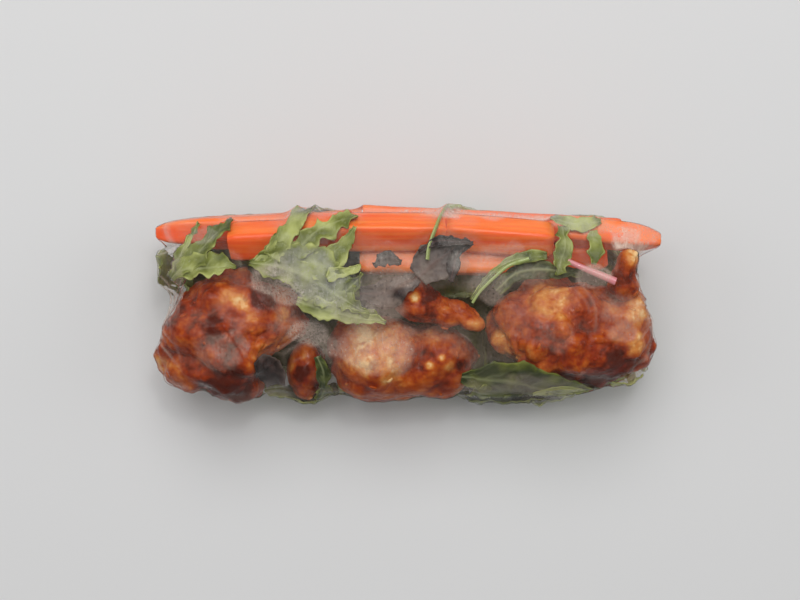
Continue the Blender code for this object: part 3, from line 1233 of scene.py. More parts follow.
@dataclass
class ChickenPieces:
    """The battered and glazed chicken pieces along the front of the roll."""

    batter: GlazedBatter = GlazedBatter()
    # How wide and how high each kind of lump is, in millimetres, and its share in the browning.
    lumps: tuple[Place, ...] = ((13.0, 3.0, 0.50), (6.5, 1.2, 0.30), (2.8, 0.26, 0.12), (1.2, 0.16, 0.08))
    crumbs_per_square_metre: float = 5000.0
    crumb_radius: float = 0.75 * MM
    chunks: tuple[Chunk, ...] = (
        Chunk("chicken_left", 3, 3),
        Chunk("chicken_nugget", 11, 3, 0.35, 1.2),
        Chunk("chicken_middle", 5, 3, 0.6, 0.8),
        Chunk("chicken_shard", 8, 3, 0.7, 0.7),
        Chunk("chicken_right", 21, 3),
        Chunk("chicken_finger", 14, 3, 0.5),
    )
    pulls: tuple[Pull, ...] = (
        Pull("chicken_left", (-32.5, -17.0, 20.0), (-12.0, 4.0, 0.0), 13.0),
        Pull("chicken_left", (-32.0, -3.0, 22.0), (5.0, 0.0, 0.0), 9.0),
        Pull("chicken_left", (-35.0, -8.0, 21.0), (5.0, -2.0, 0.0), 7.0),
        Pull("chicken_nugget", (-26.7, -18.6, 13.4), (-1.9, 0.4, 0.0), 40.0),
        Pull("chicken_nugget", (-28.0, -10.8, 20.0), (-0.6, 1.8, 0.0), 5.0),
        Pull("chicken_middle", (-19.0, -9.0, 20.0), (-3.5, 2.0, 1.0), 7.0),
        Pull("chicken_middle", (17.0, -12.0, 20.0), (1.8, 0.0, 1.0), 7.0),
        Pull("chicken_left", (-66.0, -6.0, 20.0), (1.4, 0.0, 0.0), 8.0),
        Pull("chicken_left", (-67.0, -16.0, 18.0), (-3.0, -3.0, 0.0), 7.0),
        Pull("chicken_shard", (17.0, -1.8, 29.0), (4.6, -3.8, 1.0), 8.0),
        Pull("chicken_shard", (1.0, 1.5, 30.0), (-3.0, 0.0, 2.5), 7.0),
        Pull("chicken_shard", (3.0, 5.5, 30.0), (0.0, 2.0, 2.0), 6.0),
        Pull("chicken_shard", (3.0, -3.0, 30.0), (0.0, -1.4, 1.0), 6.0),
        Pull("chicken_shard", (20.6, -2.0, 29.0), (-1.6, -1.4, 0.0), 4.0),
        Pull("chicken_finger", (64.0, 10.0, 31.0), (-1.6, 0.0, 0.0), 6.0),
        Pull("chicken_finger", (57.0, 4.6, 28.0), (-2.4, -0.6, 0.0), 5.0),
        Pull("chicken_finger", (59.6, 5.0, 27.0), (0.4, -3.4, -1.0), 6.0),
        Pull("chicken_right", (28.0, -17.0, 18.0), (2.0, 3.0, 4.0), 9.0),
        Pull("chicken_right", (62.0, 2.0, 24.0), (4.0, 4.0, 1.5), 8.0),
        Pull("chicken_right", (67.0, -11.0, 20.0), (4.6, 0.0, 2.0), 8.0),
    )
    spots: tuple[GlazeSpot, ...] = (
        # The left piece.
        GlazeSpot(-45.0, 0.5, 3.0, 1.1),
        GlazeSpot(-42.0, -3.0, 2.6, 0.8),
        GlazeSpot(-49.0, 2.0, 3.4, 0.5),
        GlazeSpot(-39.0, 2.0, 4.4, -0.8),
        GlazeSpot(-58.0, 6.0, 5.0, 0.10),
        GlazeSpot(-50.0, -22.0, 9.0, -0.9),
        GlazeSpot(-68.0, -16.5, 3.5, 0.8),
        GlazeSpot(-34.0, -3.0, 3.0, 0.4),
        GlazeSpot(-60.0, -3.0, 6.0, -0.5),
        GlazeSpot(-34.5, 3.0, 3.6, 0.7),
        GlazeSpot(-52.0, -6.0, 4.4, -0.9),
        GlazeSpot(-66.0, -5.0, 4.0, -0.9),
        GlazeSpot(-62.0, -10.5, 4.5, -0.4),
        GlazeSpot(-42.0, -8.0, 4.0, 0.3),
        # The nugget.
        GlazeSpot(-27.5, -13.0, 3.4, 0.45),
        GlazeSpot(-29.5, -19.0, 2.8, -0.9),
        GlazeSpot(-28.0, -24.5, 3.4, 0.6),
        # The middle piece.
        GlazeSpot(-9.5, -12.5, 10.0, 0.95),
        GlazeSpot(-9.0, -20.5, 2.4, -0.7),
        GlazeSpot(-4.0, -24.0, 5.0, 0.3),
        GlazeSpot(6.0, -16.6, 1.4, 1.05),
        GlazeSpot(9.4, -14.4, 1.2, 0.95),
        GlazeSpot(12.0, -17.0, 2.2, 0.8),
        GlazeSpot(15.5, -17.0, 2.6, -0.7),
        # The shard.
        GlazeSpot(2.2, 2.2, 1.9, 1.4),
        GlazeSpot(7.0, 2.7, 2.4, -0.7),
        GlazeSpot(12.0, -2.0, 5.0, 0.35),
        GlazeSpot(20.0, -5.0, 3.2, 0.6),
        # The right piece and its finger.
        GlazeSpot(38.5, 1.5, 7.0, 1.0),
        GlazeSpot(29.0, -11.0, 7.0, 0.5),
        # The golden spots at (59, -1) and (57.5, -8) are partly painted highlight: they lighten the right
        # end where the key light falls.
        GlazeSpot(66.0, 0.0, 5.0, 0.6),
        GlazeSpot(59.0, -1.0, 6.5, 0.5),
        GlazeSpot(56.0, -18.0, 8.0, -0.8),
        GlazeSpot(42.0, -17.0, 6.0, -0.2),
        GlazeSpot(62.5, -11.0, 4.2, 0.75),
        GlazeSpot(57.5, -8.0, 3.5, 0.7),
        GlazeSpot(61.0, 13.5, 3.0, 0.9),
        GlazeSpot(59.6, 8.2, 3.0, -0.4),
        GlazeSpot(42.0, -6.0, 3.0, -0.4),
        GlazeSpot(46.0, -2.0, 3.0, -0.25),
        GlazeSpot(54.0, 4.0, 3.2, -0.35),
    )

    def shape(self) -> Shape:
        """Returns the tree that puts a lumpy crust and crumbs on a plain piece."""
        g = Shape("battered_crust")
        level, seed = g.input("Level", "Int"), g.input("Seed")
        lumpiness, swell = g.input("Lumpiness"), g.input("Swell")
        crumbs, material = g.input("Crumb Density"), g.input("Material", "Material")
        numbers = range(1, len(self.lumps) + 1)
        knobs = [(g.input(f"Lump {i} Size"), g.input(f"Lump {i} Height")) for i in numbers]
        body = g.add("GeometryNodeSubdivisionSurface", {}, {"Mesh": g.geometry, "Level": level})
        place = g.add("GeometryNodeInputPosition")
        normal = g.add("GeometryNodeInputNormal")
        warp = g.vectors("SCALE", normal, g.noise(place, 120.0, 1.0, seed) * 4.0 * MM)
        warped = g.vectors("ADD", place, warp)
        height: Link | float = 0.0
        total: Link | float = 0.0
        for number, (size, rise) in enumerate(knobs):
            knob = (abs(g.noise(warped, 1.0 / size, 0.0, seed + number * 3.7)) * 2.2).clamped()
            height = height + knob * rise
            total = total + knob * self.lumps[number][2]
        body = g.stored(body, "lump", total.clamped())
        half_rise = sum(rise for _size, rise, _share in self.lumps) * 0.5 * MM
        body = g.moved(body, g.vectors("SCALE", normal, (height - half_rise) * lumpiness + swell))
        points = g.add(
            "GeometryNodeDistributePointsOnFaces", {}, {"Mesh": body, "Density": crumbs, "Seed": 4}
        )
        crumb = g.add("GeometryNodeMeshIcoSphere", {}, {"Radius": self.crumb_radius, "Subdivisions": 2})
        crumb = g.moved(crumb, g.vectors("SCALE", normal, g.noise(place, 1100.0, 1.0, 3.0) * 0.4 * MM))
        crumb = g.stored(crumb, "lump", 0.85)
        sizes = {0: (0.5, 0.5, 0.3), 1: (1.7, 1.2, 0.7), "Seed": 7}
        size = g.add("FunctionNodeRandomValue", {"data_type": "FLOAT_VECTOR"}, sizes)
        turn = Link(g, points.socket.node.outputs["Rotation"])
        copies = {"Points": points, "Instance": crumb, "Rotation": turn, "Scale": size}
        scatter = g.add("GeometryNodeInstanceOnPoints", {}, copies)
        join = g.tree.nodes.new("GeometryNodeJoinGeometry")
        for part in (body, g.add("GeometryNodeRealizeInstances", {}, {"Geometry": scatter})):
            g.tree.links.new(part.socket, join.inputs[0])
        g.finish(Link(g, join.outputs[0]), material)
        return g

    def build(self) -> list[bpy.types.Object]:
        """Returns a finished piece for each chicken node."""
        g = self.shape()
        material = self.batter.material()
        made = []
        for chunk in self.chunks:
            values = {
                "Level": chunk.level,
                "Seed": float(chunk.seed),
                "Lumpiness": chunk.lumpiness,
                "Swell": chunk.swell * MM,
                "Crumb Density": self.crumbs_per_square_metre,
                "Material": material,
            }
            for i, (size, rise, _share) in enumerate(self.lumps, 1):
                values[f"Lump {i} Size"] = size * MM
                values[f"Lump {i} Height"] = rise * MM
            piece = g.apply(chunk.node + "_crust", self.core(chunk.node), values)
            self.brown(piece.data)
            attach(piece, "root")
            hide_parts(chunk.node)
            made.append(piece)
            log.info("%s: %d faces", chunk.node, len(piece.data.polygons))
        return made

    def brown(self, mesh: bpy.types.Mesh) -> None:
        """Stores on a mesh how golden the spots make it.

        Args:
            mesh: A finished piece's mesh.
        """
        co = places_of(mesh) / MM
        gold = np.zeros(len(co))
        for spot in self.spots:
            away = np.hypot(co[:, 0] - spot.x, co[:, 1] - spot.y) / spot.reach
            gold += spot.gold * (1 - smooth(0.35, 1.15, away)) * smooth(12.0, 20.0, co[:, 2])
        store(mesh, "spot", gold)

    def core(self, node: str) -> bpy.types.Mesh:
        """A merged copy of a CAD node's mesh, with its pulls made.

        Args:
            node: The node's name.

        Returns:
            The copy.
        """
        mesh = merged_copy(node)
        co = places_of(mesh) / MM
        for pull in self.pulls:
            if pull.node == node:
                away = np.linalg.norm((co - np.array(pull.place)) * (1, 1, 0.6), axis=1) / pull.reach
                co += np.array(pull.by) * (1 - smooth(0.0, 1.0, away))[:, None]
        mesh.vertices.foreach_set("co", (co * MM).ravel().astype(np.float32))
        return mesh


def merged_copy(node: str) -> bpy.types.Mesh:
    """A copy of a CAD node's mesh with its triangles joined up.

    Args:
        node: The node's name.

    Returns:
        The copy.
    """
    shape = bmesh.new()
    shape.from_mesh(bpy.data.objects[node].data)
    bmesh.ops.remove_doubles(shape, verts=shape.verts, dist=0.01 * MM)
    bmesh.ops.recalc_face_normals(shape, faces=shape.faces)
    mesh = bpy.data.meshes.new(node + "_core")
    shape.to_mesh(mesh)
    shape.free()
    return mesh


@dataclass(frozen=True)
class Leaf:
    """A leaf or a piece of one, laid on a side of the roll, in millimetres.

    Its rib is a path in that side's plan. Its half-widths to the left and right of the rib are
    given at even steps from the rib's start to its end.
    """

    side: Side
    rib: tuple[Spot, ...]
    left: tuple[float, ...]
    right: tuple[float, ...]
    tone: float
    sink: float = 0.1
    frill: float = 0.8
    crinkle: float = 0.6
    seed: int = 1
    cell: float = 0.6
    thickness: float = 0.25
    table_gap: float = 0.4
    least_half: float = 0.25
    least_rows: int = 12
    least_columns: int = 9
    measured_at: int = 60

    def mesh(self, wrapping: Wrapping) -> bpy.types.Mesh:
        """Lays the leaf out.

        Args:
            wrapping: The surface it is laid against.

        Returns:
            Its mesh, a closed thin sheet.
        """
        path = through(self.rib, self.measured_at)
        length = float(np.linalg.norm(np.diff(path, axis=0), axis=1).sum())
        rows = max(self.least_rows, int(length / self.cell))
        columns = max(self.least_columns, int((max(self.left) + max(self.right)) / self.cell))
        rib = through(self.rib, rows)
        way = np.gradient(rib, axis=0)
        way /= np.linalg.norm(way, axis=1, keepdims=True)
        across = np.stack([-way[:, 1], way[:, 0]], axis=1)
        s = np.linspace(0, 1, rows)[:, None]
        t = np.linspace(-1, 1, columns)[None, :]
        left, right = (
            np.interp(s[:, 0], np.linspace(0, 1, len(widths)), widths)[:, None]
            for widths in (self.left, self.right)
        )
        ends = smooth(0, 0.1, s) * smooth(0, 0.1, 1 - s)
        half = np.where(t > 0, left, right) + self.frill * self._ragged(s, t, length) * ends
        half = np.maximum(half, self.least_half)
        plan = rib[:, None, :] + across[:, None, :] * (t * half)[..., None]
        flat = np.concatenate([plan, np.full((rows, columns, 1), self.seed * 23.0)], axis=-1)
        edge = smooth(0.5, 1.0, np.abs(t) + 0 * s)
        ruffle = np.abs(layered_noise(flat, 5.5, 2, self.seed + 11)) * 1.3
        frilled = np.abs(layered_noise(flat, 2.3, 2, self.seed + 17)) * edge
        veins = self._veins(flat, s, t)
        pucker = np.abs(layered_noise(flat, 2.6, 2, self.seed + 13))
        lift = 0.15 + self.crinkle * (1.2 * ruffle + 1.5 * frilled + 0.6 * pucker) + 0.1 * veins
        grid = wrapping.laid(self.side, plan * MM, lift * MM, self.sink)
        mottle = layered_noise(flat, 4.5, 2, self.seed + 23)
        # Painted shade and light: the blade is darker where its ruffles and frills dip and paler where they
        # lift. It is also paler towards its rim.
        tone = self.tone + 0.34 * mottle + 0.5 * (ruffle - 0.4) + 0.35 * frilled
        tone += 0.14 * smooth(0.75, 1.0, np.abs(t))
        grid[..., 2] = np.maximum(grid[..., 2], self.table_gap * MM)
        return thick_sheet(
            "leaf", grid, {"tone": tone, "vein": veins}, self.thickness * MM, wrapping.middle
        )

    def _ragged(self, s: np.ndarray, t: np.ndarray, length: float) -> np.ndarray:
        """How far the blade's rim goes out or in along its length, in large, middling and fine lobes.

        Args:
            s: The share of the length at each row.
            t: The share of the half-width at each column.
            length: The rib's length.

        Returns:
            How far the rim goes out, as rows by columns.
        """
        level = np.full((len(s), t.shape[1]), self.seed * 17.0)
        rim = np.stack([s * length + 0 * t, np.sign(t) * 30.0 + 0 * s, level], axis=-1)
        ragged = 2.0 * layered_noise(rim, 6.5, 2, self.seed)
        ragged += 1.3 * (1 - np.abs(layered_noise(rim, 3.8, 2, self.seed + 5)) * 1.8) ** 2 - 0.6
        ragged += 0.35 * layered_noise(rim, 1.2, 2, self.seed + 7)
        return ragged

    def _veins(self, flat: np.ndarray, s: np.ndarray, t: np.ndarray) -> np.ndarray:
        """How much of a vein there is at each point of the blade.

        Args:
            flat: The blade's places in plan.
            s: The share of the length at each row.
            t: The share of the half-width at each column.

        Returns:
            The vein, from 0 to 1.
        """
        sway = layered_noise(flat, 7.0, 2, self.seed + 29)
        middle = np.exp(-(((t + 0.12 * sway) / (0.10 * (1.1 - s) + 0.015)) ** 2))
        slanted = s * 6.0 - np.abs(t) * 1.4 + 0.45 * sway + self.seed * 0.37
        side_veins = np.exp(-(((slanted - np.round(slanted)) / 0.09) ** 2)) * (1 - np.abs(t)) * 0.7
        return np.clip(np.maximum(middle + 0 * s, side_veins), 0, 1)


@dataclass(frozen=True)
class Stem:
    """A thin stem laid on a side of the roll. Lengths are in millimetres."""

    side: Side
    path: tuple[Spot, ...]
    thickness: float
    flatness: float
    sink: float
    start_share: float = 0.6
    end_share: float = 0.9
    points: int = 46
    stand_off: float = 0.25


@dataclass
class SaladLeaves:
    """The salad: a pressed core, and the leaves and stems laid over it under the paper."""

    green: LeafBlade = LeafBlade(
        "lettuce_leaf", (0.035, 0.052, 0.008), (0.170, 0.195, 0.030), (0.44, 0.47, 0.15), (0.52, 0.55, 0.28)
    )
    purple: LeafBlade = LeafBlade(
        "purple_leaf", (0.016, 0.010, 0.010), (0.070, 0.046, 0.040), (0.16, 0.125, 0.10), (0.15, 0.07, 0.06)
    )
    green_stem: LeafStem = LeafStem("green_stem", (0.26, 0.33, 0.07), (0.38, 0.44, 0.16))
    pink_stem: LeafStem = LeafStem("pink_stem", (0.62, 0.16, 0.20), (0.72, 0.34, 0.33))
    greens: tuple[Leaf, ...] = (
        # Frilled lettuce at the left end.
        Leaf(
            Side.TOP, ((-64.5, 7.2), (-58.5, 13.0), (-54.0, 18.0), (-48.2, 23.2)),
            (1.4, 3.0, 3.6, 3.4, 2.2, 3.4, 2.0, 0.4), (1.0, 2.2, 3.4, 4.6, 3.6, 1.8, 1.4, 0.3), 0.42, 0.02,
            1.1, 0.9, 3, 0.5,
        ),
        Leaf(
            Side.TOP, ((-63.0, 8.6), (-56.0, 10.0), (-46.4, 10.4)), (1.6, 3.4, 4.4, 4.6, 3.0, 0.4),
            (1.2, 2.0, 1.2, 2.6, 1.0, 0.3), 0.60, 0.02, 1.2, 1.0, 5, 0.5,
        ),
        Leaf(
            Side.TOP, ((-62.6, 12.0), (-60.0, 17.5), (-57.4, 22.0)), (0.8, 1.8, 1.0, 1.4, 0.3),
            (1.0, 1.6, 2.2, 1.0, 0.3), 0.50, 0.02, 0.9, 0.9, 6, 0.5,
        ),
        # The large pale lettuce leaf across the middle, then its fronds and folded scraps.
        Leaf(
            Side.TOP, ((-42.8, 11.4), (-34.0, 10.0), (-24.0, 5.5), (-14.0, -0.5), (-5.8, -4.8)),
            (0.8, 4.0, 8.4, 10.0, 9.6, 7.0, 4.4, 2.4, 1.4, 0.4),
            (0.6, 2.4, 3.4, 4.2, 4.4, 4.0, 3.4, 2.6, 1.6, 0.3), 0.48, 0.06, 1.4, 1.0, 7, 0.5,
        ),
        Leaf(
            Side.TOP, ((-37.0, 13.0), (-33.0, 19.0), (-29.5, 23.0), (-25.6, 27.4)),
            (2.0, 3.0, 2.6, 2.4, 1.8, 0.5), (3.0, 2.2, 2.0, 2.4, 1.6, 0.4), 0.58, 0.0, 0.9, 1.0, 9, 0.5,
        ),
        Leaf(
            Side.TOP, ((-31.0, 14.0), (-25.0, 19.6), (-19.0, 22.4), (-13.6, 23.8)),
            (2.2, 2.0, 1.6, 2.2, 1.2, 0.4), (2.4, 3.4, 2.8, 3.6, 2.6, 0.6), 0.62, 0.02, 1.0, 0.9, 12, 0.5,
        ),
        Leaf(
            Side.TOP, ((-27.0, 9.0), (-20.0, 14.0), (-14.2, 21.0)), (3.4, 3.6, 2.0, 1.4, 0.4),
            (3.0, 3.6, 3.2, 1.8, 0.4), 0.60, 0.06, 1.1, 0.8, 14, 0.5,
        ),
        Leaf(
            Side.TOP, ((-21.5, 7.0), (-17.5, 9.4), (-12.6, 10.6)), (0.6, 2.0, 1.6, 1.2, 0.3),
            (0.6, 1.8, 2.2, 1.4, 0.3), 0.92, 0.0, 0.9, 1.6, 15, 0.45,
        ),
        Leaf(
            Side.TOP, ((-17.5, 3.0), (-14.6, 5.6), (-12.2, 8.6)), (0.8, 1.8, 1.4, 0.3),
            (0.6, 2.0, 1.8, 0.3), 0.34, 0.04, 0.8, 1.0, 17, 0.45,
        ),
        Leaf(
            Side.TOP, ((-30.0, 1.0), (-22.0, -1.4), (-13.0, -3.6), (-6.0, -4.6)),
            (1.2, 3.0, 2.6, 2.0, 1.4, 0.4), (0.8, 1.6, 1.8, 1.6, 1.0, 0.3), 0.66, 0.05, 1.0, 0.8, 18, 0.5,
        ),
        Leaf(
            Side.TOP, ((-41.4, 12.0), (-38.2, 15.4), (-35.6, 19.4)), (0.5, 1.0, 0.9, 0.2),
            (1.4, 2.4, 2.0, 0.3), 0.72, 0.0, 0.6, 0.7, 19, 0.45,
        ),
        # Small leaves at the right.
        Leaf(
            Side.TOP, ((42.2, 21.2), (42.8, 16.0), (41.6, 12.0), (40.4, 8.0)),
            (1.6, 1.2, 2.6, 2.8, 1.6, 0.3), (1.2, 2.6, 3.4, 3.2, 2.0, 0.3), 0.60, 0.0, 1.2, 1.0, 20, 0.45,
        ),
        Leaf(
            Side.TOP, ((39.4, 23.6), (46.0, 22.0), (53.0, 22.8)), (0.5, 1.4, 2.0, 1.8, 1.2, 0.4),
            (0.4, 1.4, 2.2, 2.6, 1.8, 0.4), 0.56, 0.04, 0.6, 0.5, 22, 0.5,
        ),
        Leaf(
            Side.TOP, ((50.4, 20.0), (51.2, 15.5), (50.6, 11.0)), (1.4, 2.0, 2.2, 0.4),
            (0.8, 1.6, 2.6, 0.6), 0.56, 0.02, 0.6, 0.7, 23, 0.45,
        ),
        # The olive leaf whose rim arcs over the right chicken, and under it a leaf whose darkest tone is
        # painted shade.
        Leaf(
            Side.TOP, ((17.4, 1.4), (20.4, 6.0), (25.0, 10.4), (30.5, 12.6), (38.0, 13.2)),
            (0.5, 0.6, 0.6, 1.0, 1.8, 2.0, 1.2), (0.4, 0.8, 0.9, 1.0, 1.4, 1.2, 0.6), 0.40, 0.10, 0.3, 0.4,
            25, 0.45,
        ),
        Leaf(
            Side.TOP, ((24.0, 4.0), (30.0, 9.0), (38.0, 10.0), (48.0, 9.0)), (1.0, 2.0, 2.0, 2.0, 1.0),
            (1.6, 3.0, 3.0, 2.4, 1.0), 0.02, 0.55, 0.6, 0.6, 26, 0.6,
        ),
        # Low greens along the front.
        Leaf(
            Side.TOP, ((38.5, -23.8), (44.0, -24.2), (50.5, -24.6)), (0.6, 1.6, 1.4, 0.4),
            (0.6, 1.8, 1.6, 0.4), 0.66, 0.0, 0.12, 0.4, 28, 0.5,
        ),
        Leaf(
            Side.TOP, ((56.5, -21.2), (61.0, -21.8), (66.2, -19.6)), (0.3, 0.6, 0.6, 0.3),
            (0.6, 2.0, 1.8, 0.5), 0.80, 0.0, 0.25, 0.9, 29, 0.45,
        ),
        Leaf(
            Side.TOP, ((15.0, -20.0), (28.0, -22.0), (40.0, -23.4), (54.0, -24.2)),
            (0.8, 5.0, 7.0, 5.0, 2.6, 0.6), (1.6, 4.8, 5.8, 4.6, 1.6, 0.4), 0.14, 0.18, 0.4, 0.3, 27, 0.6,
        ),
        Leaf(
            Side.TOP, ((-24.6, -14.4), (-23.0, -19.0), (-23.6, -23.6)), (1.0, 1.8, 2.0, 1.0),
            (1.0, 1.8, 2.0, 1.0), 0.16, 0.2, 0.4, 0.3, 47, 0.6,
        ),
        Leaf(
            Side.TOP, ((35.0, -24.6), (42.0, -23.6), (51.0, -24.2)), (0.4, 1.2, 1.4, 0.4),
            (0.4, 1.1, 1.3, 0.4), 1.3, 0.0, 0.06, 0.2, 46, 0.5,
        ),
        Leaf(
            Side.FRONT, ((17.0, 8.0), (36.0, 7.4), (58.0, 9.0)), (3.0, 6.0, 7.5, 6.0, 3.0),
            (3.0, 5.0, 5.5, 5.0, 3.0), 0.40, 0.06, 0.9, 0.9, 31, 0.8,
        ),
        Leaf(
            Side.FRONT, ((36.0, 9.0), (43.0, 8.0), (52.0, 11.0)), (1.0, 2.8, 3.2, 0.8),
            (1.0, 3.0, 3.0, 0.8), 0.95, 0.0, 0.8, 1.0, 32, 0.6,
        ),
        Leaf(
            Side.FRONT, ((56.0, 5.0), (62.0, 9.5), (66.6, 13.5)), (1.0, 3.0, 3.0, 0.8),
            (1.0, 3.0, 2.8, 0.8), 0.86, 0.0, 1.2, 1.8, 33, 0.5,
        ),
        Leaf(
            Side.FRONT, ((-40.0, 6.5), (-31.0, 9.5), (-20.0, 7.0)), (2.0, 5.0, 5.0, 2.0),
            (2.0, 4.5, 4.5, 2.0), 0.52, 0.08, 0.9, 1.0, 34, 0.8,
        ),
        Leaf(
            Side.FRONT, ((-64.0, 6.0), (-52.0, 5.5), (-38.0, 6.5)), (2.0, 4.0, 4.0, 2.0),
            (2.0, 4.0, 4.0, 2.0), 0.45, 0.08, 0.9, 1.0, 35, 0.8,
        ),
        Leaf(
            Side.FRONT, ((-20.0, 4.4), (-4.0, 4.2), (18.0, 5.0)), (2.0, 3.6, 3.6, 2.0),
            (2.0, 3.2, 3.2, 2.0), 0.42, 0.08, 0.9, 1.0, 36, 0.8,
        ),
        Leaf(
            Side.FRONT, ((18.0, 10.0), (20.5, 17.0), (22.0, 25.0)), (1.6, 3.0, 3.0, 1.0),
            (1.6, 3.0, 3.0, 1.0), 0.34, 0.3, 0.8, 0.9, 37, 0.8,
        ),
        Leaf(
            Side.FRONT, ((-25.0, 9.0), (-24.0, 16.0), (-22.5, 25.0)), (1.6, 2.6, 2.6, 1.0),
            (1.6, 3.0, 3.0, 1.0), 0.36, 0.3, 0.8, 0.9, 38, 0.8,
        ),
        # Leaves showing at the back, under and between the batons.
        Leaf(
            Side.BACK, ((-62.0, 6.5), (-50.0, 8.0), (-34.0, 7.0)), (2.0, 3.0, 3.0, 1.4),
            (2.0, 3.4, 3.4, 1.4), 0.50, 0.16, 1.0, 0.3, 41, 0.8,
        ),
        Leaf(
            Side.BACK, ((-27.0, 21.0), (-24.0, 15.0), (-21.0, 8.0)), (1.0, 2.6, 3.0, 0.8),
            (1.0, 2.4, 3.0, 0.8), 0.55, 0.08, 0.9, 0.35, 42, 0.7,
        ),
        Leaf(
            Side.BACK, ((2.0, 4.0), (16.0, 6.0), (32.0, 8.0)), (1.6, 3.6, 3.4, 1.2), (1.6, 3.4, 3.4, 1.2),
            0.45, 0.16, 1.0, 0.35, 43, 0.8,
        ),
        Leaf(
            Side.BACK, ((42.0, 6.0), (52.0, 9.0), (60.0, 12.0)), (1.6, 3.6, 3.8, 1.2), (1.6, 3.6, 3.8, 1.2),
            0.52, 0.16, 1.0, 0.35, 44, 0.8,
        ),
        # The two ends.
        Leaf(
            Side.LEFT, ((8.0, 5.0), (9.0, 13.0), (12.0, 22.0)), (2.4, 5.0, 5.0, 1.6), (2.4, 5.0, 5.0, 1.6),
            0.48, 0.08, 1.1, 1.0, 51, 0.8,
        ),
        Leaf(
            Side.LEFT, ((-14.0, 4.5), (-4.0, 6.0), (10.0, 5.0)), (2.0, 3.4, 3.4, 1.4), (2.0, 3.4, 3.4, 1.4),
            0.42, 0.70, 1.0, 1.0, 52, 0.8,
        ),
        Leaf(
            Side.RIGHT, ((18.0, 4.0), (12.0, 5.0), (4.0, 5.0)), (2.0, 3.4, 3.4, 1.4), (2.0, 3.0, 3.0, 1.4),
            0.50, 0.80, 1.0, 0.8, 53, 0.8,
        ),
        Leaf(
            Side.RIGHT, ((-16.0, 4.5), (-5.0, 6.5), (9.0, 5.5)), (2.0, 3.4, 3.4, 1.4), (2.0, 3.4, 3.4, 1.4),
            0.58, 0.70, 1.0, 1.0, 54, 0.8,
        ),
        # The underside.
        Leaf(
            Side.UNDER, ((-60.0, -4.0), (-40.0, 2.0), (-14.0, -3.0)), (6.0, 13.0, 13.0, 4.0),
            (6.0, 13.0, 13.0, 4.0), 0.45, 0.0, 1.6, 0.5, 61, 1.0,
        ),
        Leaf(
            Side.UNDER, ((60.0, 5.0), (36.0, -3.0), (10.0, 3.0)), (6.0, 13.0, 13.0, 4.0),
            (6.0, 13.0, 13.0, 4.0), 0.50, 0.0, 1.6, 0.5, 62, 1.0,
        ),
        Leaf(
            Side.UNDER, ((-22.0, 10.0), (0.0, -2.0), (22.0, -10.0)), (4.0, 10.0, 10.0, 3.0),
            (4.0, 10.0, 10.0, 3.0), 0.60, 0.0, 1.6, 0.5, 63, 1.0,
        ),
    )
    purples: tuple[Leaf, ...] = (
        Leaf(
            Side.TOP, ((3.0, 7.6), (8.0, 12.2), (15.0, 16.4)), (3.4, 5.2, 5.4, 4.0, 2.4, 1.0),
            (3.0, 4.4, 5.2, 5.0, 3.0, 1.0), 0.52, 0.10, 0.7, 0.5, 71, 0.5,
        ),
        Leaf(
            Side.TOP, ((3.0, 14.4), (8.6, 17.4), (17.8, 16.6)), (0.5, 0.9, 0.8, 0.6, 0.5),
            (0.6, 1.2, 1.4, 1.2, 0.6), 0.10, 0.0, 0.5, 0.9, 72, 0.45,
        ),
        Leaf(
            Side.TOP, ((17.6, 16.8), (13.6, 13.8), (12.6, 10.0), (11.6, 6.4)), (0.5, 1.0, 0.9, 1.2, 0.6),
            (0.5, 1.2, 1.4, 1.6, 0.6), 0.16, 0.04, 0.5, 0.8, 73, 0.45,
        ),
        Leaf(
            Side.TOP, ((-9.0, 10.6), (-5.6, 13.0), (-1.6, 11.6)), (0.8, 1.8, 1.6, 0.5),
            (0.8, 2.4, 2.2, 0.5), 0.14, 0.03, 0.7, 1.2, 74, 0.45,
        ),
        Leaf(
            Side.TOP, ((-13.0, 3.0), (-4.0, 4.0), (3.0, 7.6)), (2.0, 4.0, 4.0, 1.6), (2.0, 4.6, 3.4, 1.4),
            0.22, 0.5, 0.8, 0.8, 75, 0.6,
        ),
        # A dark purple leaf low in the gap between the left piece and the nugget; its dark tone stands in
        # for the shade in that gap, as painted shade.
        Leaf(
            Side.TOP, ((-40.0, -14.5), (-36.8, -19.0), (-36.0, -24.6)), (1.6, 2.6, 2.8, 2.4),
            (2.0, 4.4, 4.4, 2.6), 0.12, 0.6, 0.4, 0.5, 45, 0.6,
        ),
        Leaf(
            Side.FRONT, ((20.0, 12.0), (22.0, 20.0), (20.0, 28.0)), (1.6, 3.6, 3.6, 1.2),
            (1.6, 3.6, 3.6, 1.2), 0.40, 0.5, 0.8, 0.8, 76, 0.8,
        ),
    )
    green_stems: tuple[Stem, ...] = (
        Stem(
            Side.TOP, ((15.0, 28.6), (12.4, 28.0), (9.8, 24.9), (7.6, 20.6), (5.9, 15.8), (5.4, 12.2)), 2.0,
            0.5, 0.0,
        ),
        Stem(
            Side.TOP, ((17.6, 0.6), (19.6, 3.6), (23.6, 7.6), (27.6, 10.8), (33.0, 12.6)), 1.25, 0.6, 0.12
        ),
        Stem(Side.BACK, ((12.0, 24.0), (15.0, 18.0), (19.0, 12.0), (20.0, 7.0)), 1.5, 0.6, 0.0),
    )
    pink_stems: tuple[Stem, ...] = (
        Stem(Side.TOP, ((43.4, 11.8), (48.0, 9.8), (52.0, 8.2), (56.4, 6.4)), 2.4, 0.75, 0.10),
    )
    core_inset: float = 1.4 * MM
    core_gap: float = 0.4 * MM
    core_crumple: float = 2.2 * MM
    front_bulge: float = 3.2 * MM
    section_points: int = 14

